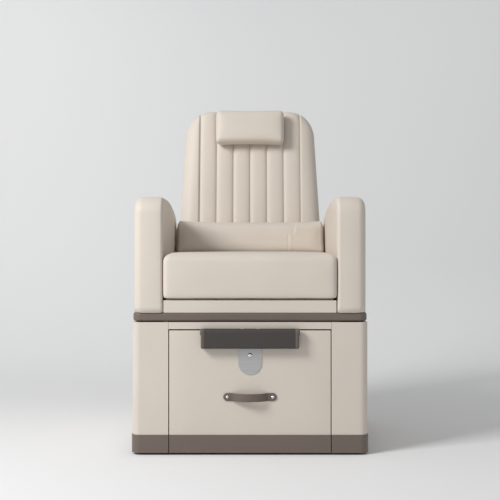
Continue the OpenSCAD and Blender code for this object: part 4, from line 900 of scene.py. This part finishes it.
straight = BACK_HIGH - CORNER - BACK_LOW - BACK_EDGE
back_levels = [(BACK_LOW + BACK_EDGE * (1 - c), BACK_DEPTH - BACK_EDGE * (1 - s)) for c, s in arc(0, 90, 8)]
back_levels += [(BACK_LOW + BACK_EDGE + straight * i / 43, BACK_DEPTH) for i in range(1, 44)]
back_levels += [(BACK_HIGH - CORNER + (CORNER - BACK_EDGE) * i / 14, BACK_DEPTH) for i in range(1, 15)]
back_levels += [(BACK_HIGH - BACK_EDGE + BACK_EDGE * s, BACK_DEPTH - BACK_EDGE * (1 - c))
                for c, s in arc(0, 90, 12)[1:]]
rings = []
for s, deep in back_levels:
    front = back_section(s, deep)
    rings.append([(x, -d, s) for x, d in front] + [(x, -0.0003, s) for x, _ in reversed(front)])
count = len(rings[0])
points = [p for ring in rings for p in ring]
faces = [(f[0],) + f[:0:-1] for f in closed_loft(rings)[1] if len(f) == 4]
for first, flip in ((0, True), ((len(rings) - 1) * count, False)):
    for j in range(count // 2 - 1):
        quad = (first + j, first + j + 1, first + count - 2 - j, first + count - 1 - j)
        faces.append(quad[::-1] if flip else quad)
back_cover = new_mesh("back_cushion_cover", waved(on_back(points)), faces)
dress(back_cover, "cream_leatherette", "backrest", "back_cushion")
print("back", len(points), "points")

# %% [markdown]
# ## The two pillows
#
# The head pillow is a neat block with rounded edges. The lumbar pillow is softer: it fills the width between the
# arms, its ends ride up a little, and its cover is drawn into two short creases near one end.


# %% Head pillow and lumbar pillow
PILLOW_VOXEL, PILLOW_ROUNDS = 0.0045, 20


def pillow(node, centre, half, radius, swelling, shape, body, flat=(20, 6, 10)):
    """A soft block in the back's own frame; it swells by up to swelling and is then shaped by a rule of its own."""
    half = np.array(half, float)
    points, faces = wrapped_box(half, radius, flat, 6)
    points, faces = swell(node + "_cover_swell", points, faces, PILLOW_VOXEL, swelling, PILLOW_ROUNDS, half)
    points = shape(points, *(points[:, k] / half[k] for k in range(3)))
    piece = finer(new_mesh(node + "_cover", on_back(points + np.array(centre)), faces))
    return dress(piece, "cream_leatherette", body, node)


def head_shape(points, u, v, w):
    """A crowned front, sides drawn in by a hair, and a foot that lifts in its middle."""
    points[:, 1] -= 0.0035 * np.clip(-v, 0, 1) ** 2 * (1 - u ** 4) * (1 - w ** 4)
    points[:, 0] *= 1 - 0.006 * (1 - w ** 2)
    points[:, 2] += 0.0012 * np.clip(-w, 0, 1) * (1 - u ** 2)
    points[:, 1] += 0.0008 * slow_noise(points, 0.07, 2.2)
    return points


pillow("head_pillow", (0, -0.0819, 0.6425), (0.1371, 0.0288, 0.0683), (0.016, 0.018, 0.016), 0.0025, head_shape,
       "head_pillow")


def crease_depth(points, path, width):
    """How close each point lies, seen from the front, to a crease that runs along path: 1 on it, 0 away."""
    best = np.zeros(len(points))
    for (x0, z0), (x1, z1) in zip(path, path[1:]):
        along = np.array([x1 - x0, z1 - z0])
        size = np.hypot(*along)
        rel = points[:, [0, 2]] - np.array([x0, z0])
        t = np.clip(rel @ along / size ** 2, 0, 1)
        off = np.hypot(*(rel - t[:, None] * along).T)
        best = np.maximum(best, np.exp(-(off / width) ** 2))
    return best


def lumbar_shape(points, u, v, w):
    """Ends that ride up, a crowned and slightly uneven front, and two creases near the right end."""
    points[:, 0] *= 0.9918 * (1 - 0.010 * np.clip(w, 0, 1) ** 2) * (1 - 0.014 * np.clip(0.5 - 0.5 * v, 0, 1))
    points[:, 0] += 0.0010
    points[:, 2] += 0.007 * np.clip(np.abs(u), 0, 1) ** 4 * (w > 0) * np.abs(w)
    points[:, 1] -= 0.006 * np.clip(-v, 0, 1) ** 2 * (1 - w ** 4) * (1 - u ** 6)
    points[:, 1] += 0.0020 * slow_noise(points, 0.11, 6.6)
    points[:, 2] += 0.0015 * slow_noise(points, 0.15, 1.3) * (w > 0)
    front = np.clip(-v, 0, 1)
    for push, width, paths in (
            (0.0018, 0.0035, ([(0.176, 0.080), (0.172, 0.052), (0.165, 0.020)], [(0.147, 0.010), (0.146, -0.060)])),
            (-0.0009, 0.009, ([(0.184, 0.080), (0.175, 0.020)], [(0.154, 0.010), (0.153, -0.060)]))):
        points[:, 1] += push * front * sum(crease_depth(points, path, width) for path in paths)
    return points


pillow("lumbar_pillow", (0, -0.1025, 0.1735), (0.2912, 0.0510, 0.0733), (0.008, 0.036, 0.030), 0.004,
       lumbar_shape, "backrest", flat=(110, 8, 34))
print("pillows made")

# %% [markdown]
# ## The weight behind the back
#
# The head pillow hangs on a strap that runs over the back to a flat sewn bag with a weight in it.

# %% Weight and strap of the head pillow
BAG_RADIUS, BAG_WAVE = (0.009, 0.008, 0.009), 0.0012
to_back = np.linalg.inv(np.array(back_frame))
bag_points = np.array([tuple(v.co) for v in frame["nodes"]["strap_weight"].data.vertices])
bag_points = bag_points @ to_back[:3, :3].T + to_back[:3, 3]
bag_low, bag_high = bag_points.min(axis=0), bag_points.max(axis=0)
bag_half = (bag_high - bag_low) / 2
points, faces = wrapped_box(bag_half, BAG_RADIUS, (14, 3, 12), 5)
u, v, w = (points[:, k] / bag_half[k] for k in range(3))
outside = np.clip(v, 0, 1)
points[:, 1] += BAG_WAVE * (slow_noise(points, 0.05, 4.4) - 1) * outside
rim = np.clip(np.maximum(np.abs(u), np.abs(w)) - 0.80, 0, 0.06) / 0.06
points[:, 1] -= BAG_WAVE * outside * np.sin(math.pi * rim)
bag = new_mesh("strap_weight_bag", on_back(points + (bag_low + bag_high) / 2), faces)
dress(bag, "taupe_leather", body_of(frame["nodes"]["strap_weight"])[0], "strap_weight")
soften("pillow_strap", 0.7, body_of(frame["nodes"]["pillow_strap"])[0], segments=2)
print("weight bag", len(points), "points")

# %% [markdown]
# ## Stitches and screws
#
# Hundreds of equal small parts come from Geometry Nodes: one group walks along a seam and sets a stitch every six
# millimetres, another puts a domed cross-head screw on every point. A fixed seed varies them a little.


# %% Node groups for the small parts
WHOLE, MATTER, SHAPE = "NodeSocketInt", "NodeSocketMaterial", "NodeSocketGeometry"


def geometry_group(name, inputs):
    """An empty Geometry Nodes group. Inputs are (name, kind, value)."""
    return make_group(name, [("Geometry", SHAPE, None)] + inputs + [("Material", MATTER, None)],
                      [("Geometry", SHAPE)], "GeometryNodeTree")


def made_real(tree, instances, given, result):
    """Turns instances into a mesh of the given material and puts it out."""
    real = add(tree, "GeometryNodeRealizeInstances", {"Geometry": instances})
    feed(tree, result, {0: add(tree, "GeometryNodeSetMaterial", {"Geometry": real, "Material": given["Material"]})})


def grown_by(piece, group, **values):
    """Runs a Geometry Nodes group on a piece and keeps its result as a plain mesh."""
    maker = piece.modifiers.new(group.name, "NODES")
    maker.node_group = group
    for socket in group.interface.items_tree:
        if socket.item_type == "SOCKET" and socket.in_out == "INPUT" and socket.name in values:
            maker[socket.identifier] = values[socket.name]
    baked(piece)
    piece.data.polygons.foreach_set("use_smooth", [True] * len(piece.data.polygons))
    return piece


stitches, given, stitch_out = geometry_group("stitch_row", [
    ("Pitch", FLOAT, 0.006), ("Length", FLOAT, 0.0042), ("Thread", FLOAT, 0.0008), ("Seed", WHOLE, 4)])
seam = add(stitches, "GeometryNodeMeshToCurve", {"Mesh": given["Geometry"]})
paced = add(stitches, "GeometryNodeResampleCurve", {"Curve": seam, "Length": given["Pitch"]}, mode="LENGTH")
bead = add(stitches, "GeometryNodeMeshUVSphere", {"Segments": 8, "Rings": 6, "Radius": 0.5})
size = add(stitches, "ShaderNodeCombineXYZ", {0: given["Thread"], 1: given["Thread"], 2: given["Length"]})
one_stitch = add(stitches, "GeometryNodeTransform", {"Geometry": bead, "Scale": size})
along = add(stitches, "GeometryNodeInputTangent")
aligned = add(stitches, "FunctionNodeAlignRotationToVector", {"Vector": along}, axis="Z")
uneven = add(stitches, "FunctionNodeRandomValue", {"Seed": given["Seed"], 2: 0.88, 3: 1.06}, 1, data_type="FLOAT")
sewn = add(stitches, "GeometryNodeInstanceOnPoints",
           {"Points": paced, "Instance": one_stitch, "Rotation": aligned, "Scale": uneven})
made_real(stitches, sewn, given, stitch_out)

screws, given, screw_out = geometry_group("screw_heads", [
    ("Radius", FLOAT, 0.0045), ("Height", FLOAT, 0.0018), ("Seed", WHOLE, 7)])
ball = add(screws, "GeometryNodeMeshUVSphere", {"Segments": 24, "Rings": 12, "Radius": 1.0})
carved = add(screws, "GeometryNodeMeshBoolean", {"Mesh 1": ball}, operation="DIFFERENCE")
# Two bars cut the cross and a block cuts the lower half away.
for size, rise in (((0.95, 0.2, 1.0), 1.0), ((0.2, 0.95, 1.0), 1.0), ((3, 3, 1.0), -0.7)):
    cutter = add(screws, "GeometryNodeMeshCube", {"Size": size})
    cutter = add(screws, "GeometryNodeTransform", {"Geometry": cutter, "Translation": (0, 0, rise)})
    feed(screws, carved.node, {"Mesh 2": cutter})
size = add(screws, "ShaderNodeCombineXYZ", {0: given["Radius"], 1: given["Radius"], 2: given["Height"]})
one_screw = add(screws, "GeometryNodeTransform", {"Geometry": carved, "Scale": size})
set_on = add(screws, "GeometryNodeInstanceOnPoints",
             {"Points": given["Geometry"], "Instance": one_screw, "Rotation": (math.radians(-90), 0, 0)})
spin = add(screws, "FunctionNodeRandomValue", {"Seed": given["Seed"], 0: (0, 0, 0), 1: (0, 0, math.pi)},
           data_type="FLOAT_VECTOR")
turned = add(screws, "GeometryNodeRotateInstances", {"Instances": set_on, "Rotation": spin})
made_real(screws, turned, given, screw_out)
print("groups ready:", stitches.name, screws.name)


# %% Sew the back and the arms, and screw the rear panels on
STITCH_OFF, SEAM_FOOT, SEAM_HEAD = 0.0050, 0.060, 0.695
SCREW_INSET, SCREW_PITCH, PLATE_INSET = 0.014, 0.108, 0.012


def seam_mesh(name, paths):
    """A mesh of edges that run through each path's points."""
    mesh = bpy.data.meshes.new(name)
    points, edges = [], []
    for path in paths:
        edges += [(len(points) + i, len(points) + i + 1) for i in range(len(path) - 1)]
        points += [tuple(p) for p in path]
    mesh.from_pydata(points, edges, [])
    return placed(name, mesh)


back_paths = []
for number in range(-3, 4):
    x = number * CHANNEL + (STITCH_OFF if number >= 0 else -STITCH_OFF)
    path = []
    for i in range(61):
        s = SEAM_FOOT + (SEAM_HEAD - SEAM_FOOT) * i / 60
        path.append((x, -np.interp(x, *zip(*back_section(s, BACK_DEPTH))), s))
    back_paths.append(waved(on_back(path)))
arm_paths = []
for node, side in (("arm_left", -1), ("arm_right", 1)):
    low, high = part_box(node)
    x = side * (min(abs(low.x), abs(high.x)) + ARM_INNER_R + 0.0035)
    arm_paths.append([(x, y, z) for y, z in arm_outline(low.y, high.y, low.z, high.z, -0.0003)[1:84]])
for name, paths, seed, body in (("back_stitches", back_paths, 4, "backrest"), ("arm_stitches", arm_paths, 9, "base")):
    sewn_row = grown_by(seam_mesh(name, paths), stitches, Seed=seed, Material=thread)
    dress(sewn_row, "cream_leatherette", body)
    print(name, len(sewn_row.data.polygons), "faces")

panel_low, panel_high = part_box("rear_panel")
plate_low, plate_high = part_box("service_plate")
places = [(side * (panel_high.x - SCREW_INSET), panel_high.y, panel_low.z + 0.024 + i * SCREW_PITCH)
          for side in (-1, 1) for i in range(4)]
places += [(x, panel_high.y, panel_low.z + 0.348) for x in (-0.09, 0.09)]
places += [(x, plate_high.y, z) for x in (plate_low.x + PLATE_INSET, plate_high.x - PLATE_INSET)
           for z in (plate_low.z + PLATE_INSET, plate_high.z - PLATE_INSET)]
heads = grown_by(seam_mesh("rear_panel_screws", [[p] for p in places]), screws, Material=finish["zinc_steel"])
heads.data.set_sharp_from_angle(angle=SHARP)
dress(heads, "zinc_steel", "base")
print(heads.name, len(heads.data.polygons), "faces")

# %% [markdown]
# ## Basin
#
# The foot basin is a thermoformed acrylic shell: one closed loft from the underside, up the outside, over the rim
# and down into the tub, with more outlines than the frame's solid has.


# %% Foot basin
TUB_FLOOR, RIM_TOP, BOX_TOP = 0.1615, 0.3035, 0.2975
RIM_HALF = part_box("basin")[1].x
TUB_HALF = RIM_HALF - 0.0217


def plan_ring(half, y0, y1, radius, z, steps=9):
    """A rounded rectangle in plan at height z."""
    return [(sx * (half - radius) + radius * c, (y1 - radius if sy > 0 else y0 + radius) + radius * s, z)
            for sx, sy, start in ((1, 1, 0), (-1, 1, 90), (-1, -1, 180), (1, -1, 270))
            for c, s in arc(start, start + 90, steps)]


def tub_ring(inset, z):
    return plan_ring(TUB_HALF - inset, front_y + 0.036 + inset, front_y + 0.5427 - inset, 0.070 - inset / 2, z)


def rim_ring(inset, z):
    return plan_ring(RIM_HALF - inset, front_y + 0.020 + inset, front_y + 0.6387 - inset, 0.020, z)


rings = [tub_ring(0.056, TUB_FLOOR - 0.005)]
rings += [tub_ring(0.025 + 0.031 * (1 - s), TUB_FLOOR - 0.005 + 0.026 * (1 - c)) for c, s in arc(0, 90, 8)[1:]]
rings += [tub_ring(-0.004, BOX_TOP), rim_ring(0.0005, BOX_TOP), rim_ring(0, BOX_TOP + 0.001)]
rings += [rim_ring(0.002 * (1 - c), RIM_TOP - 0.002 * (1 - s)) for c, s in arc(0, 90, 4)]
rings += [tub_ring(-0.008 * (1 - s), RIM_TOP - 0.008 * (1 - c)) for c, s in arc(0, 90, 6)]
rings.append(tub_ring(0.015, (RIM_TOP + TUB_FLOOR) / 2 + 0.009))
rings += [tub_ring(0.030 + 0.026 * (1 - c), TUB_FLOOR + 0.026 * (1 - s)) for c, s in arc(0, 90, 8)]
points, faces = closed_loft(rings)
basin = new_mesh("foot_basin_shell", points, turned_over(faces))
basin.data.set_sharp_from_angle(angle=ROUND_CREASE)
dress(basin, "white_acrylic", "drawer", "basin")
print("basin", len(points), "points")

# %% [markdown]
# ## The strap handle
#
# One thickness of hide with round ends, rubbed edges and a gentle bow where the fingers go.

# %% Strap
STRAP_PITCH, STRAP_WIDTH, STRAP_BOW, STRAP_BEND, STRAP_THICK = 0.150, 0.0265, 0.026, 0.8, 0.0035
strap_z = (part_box("strap_handle")[0].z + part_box("strap_handle")[1].z) / 2
strap_flat = STRAP_PITCH / 2 - 0.55 * STRAP_WIDTH


def strap_stand(x):
    """How far the strap stands off the drawer at x."""
    if abs(x) >= strap_flat:
        return 0.0
    return STRAP_BOW * (1 - (x / strap_flat) ** 2) ** STRAP_BEND


end = (STRAP_PITCH + STRAP_WIDTH) / 2
xs = [-end + (STRAP_WIDTH / 2) * (1 - math.cos(math.radians(90 * i / 8))) for i in range(9)]
xs += [-STRAP_PITCH / 2 + STRAP_PITCH * i / 56 for i in range(1, 56)] + [-x for x in reversed(xs)]
rings = []
for x in xs:
    gap = max(0.0, abs(x) - STRAP_PITCH / 2)
    wide = max(math.sqrt(max(0, (STRAP_WIDTH / 2) ** 2 - gap ** 2)), 0.0004)
    slope = (strap_stand(x + 0.0005) - strap_stand(x - 0.0005)) / 0.001
    nx, ny = slope / math.hypot(1, slope), 1 / math.hypot(1, slope)
    edge = min(0.0012, wide * 0.6)
    lower = [(-wide + edge, 0), (-wide + 0.3 * edge, 0.3 * edge), (-wide, edge), (-wide, STRAP_THICK - edge),
             (-wide + 0.3 * edge, STRAP_THICK - 0.3 * edge), (-wide + edge, STRAP_THICK),
             (-wide * 0.4, STRAP_THICK + 0.0002)]
    section = lower + [(-z, t) for z, t in reversed(lower)]
    rings.append([(x + nx * t, front_y - strap_stand(x) - ny * t, strap_z + z) for z, t in section])
points, faces = closed_loft(rings)
strap = new_mesh("strap_handle_hide", points, turned_over(faces))
dress(strap, "taupe_leather", "drawer", "strap_handle")
print("strap", len(points), "points")

# %% [markdown]
# ## The drawer front
#
# One board wrapped in leatherette, without the holes that its screws fill. Its edges are painted dark, as painted
# shade that keeps the fine seams black.

# %% Drawer front
low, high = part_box("drawer_front")
half = (high - low) / 2
points, faces = wrapped_box(half - Vector((0.0003, 0, 0)), 0.0016, (8, 2, 6), 3)
drawer_front = new_mesh("drawer_front_wrapped", points + np.array((low + high) / 2), faces)
dress(drawer_front, "cream_panel", "drawer", "drawer_front")
drawer_front.data.materials.append(seam_shade_paint)
# Faces along the board's edges take the dark paint: painted shade in the seams.
for face in drawer_front.data.polygons:
    if abs(face.normal.y) < 0.3 and face.center.y > low.y + 0.0022:
        face.material_index = 1
print("drawer front", len(points), "points")

# %% [markdown]
# ## The footrest
#
# The bar is a moulded skin over a core; the frame's pad has the right section and only needs its edges rounded.
# Its end caps are lofts with a rolled rim, and each carries the domed cover of the hinge.


# %% Footrest
soften("footrest_pad", 0.8, "footrest", segments=2)
pad_low, pad_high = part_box("footrest_pad")
caps_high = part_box("footrest_caps")[1]
axis_y, axis_z = joint("footrest_fold")["pos_m"][1:]
CAP_FOOT_R, CAP_ROUND, CAP_DOME_R, CAP_DOME_H = 0.003, 0.005, 0.013, 0.004


def bar_section(x, inset):
    """The bar's section at x: half a circle over a square foot, drawn in by inset."""
    radius = (pad_high.y - pad_low.y) / 2 - inset
    foot, foot_r = pad_low.z + inset, max(CAP_FOOT_R - inset / 2, 0.001)
    ring = [(x, axis_y + radius * c, axis_z + radius * s) for c, s in arc(0, 180, 18)]
    ring += [(x, axis_y - radius, axis_z + (foot + foot_r - axis_z) * i / 6) for i in range(1, 6)]
    for cy, start in ((axis_y - radius + foot_r, 180), (axis_y + radius - foot_r, 270)):
        ring += [(x, cy + foot_r * c, foot + foot_r + foot_r * s) for c, s in arc(start, start + 90, 6)]
    return ring + [(x, axis_y + radius, foot + foot_r + (axis_z - foot - foot_r) * i / 6) for i in range(1, 6)]


def end_cap(side):
    """Lofts of one end cap, its outer rim rolled, and of the domed cover of the hinge on it."""
    inner, outer = pad_high.x, caps_high.x - CAP_DOME_H
    rings = [bar_section(side * (inner + 0.0002), 0.0006), bar_section(side * (inner + 0.0008), 0)]
    rings += [bar_section(side * (outer - CAP_ROUND * (1 - s)), 0.8 * CAP_ROUND * (1 - c)) for c, s in arc(0, 90, 8)]
    dome = [[(side * (outer - 0.001 + CAP_DOME_H * rise), axis_y + CAP_DOME_R * reach * c,
              axis_z + CAP_DOME_R * reach * s) for c, s in arc(0, 360, 24)[:-1]] for rise, reach in arc(8, 90, 7)]
    dome.append([(side * (outer - 0.0035), y, z) for x, y, z in dome[-1]])
    return (rings, side < 0), (dome, side > 0)


points, faces = [], []
for stack, flip in end_cap(-1) + end_cap(1):
    part_points, part_faces = closed_loft(stack)
    faces += [tuple(len(points) + i for i in f) for f in (turned_over(part_faces) if flip else part_faces)]
    points += part_points
caps = new_mesh("footrest_end_caps", points, faces)
caps.data.set_sharp_from_angle(angle=ROUND_CREASE)
dress(caps, "taupe_cap", "footrest", "footrest_caps")
print("end caps", len(points), "points")
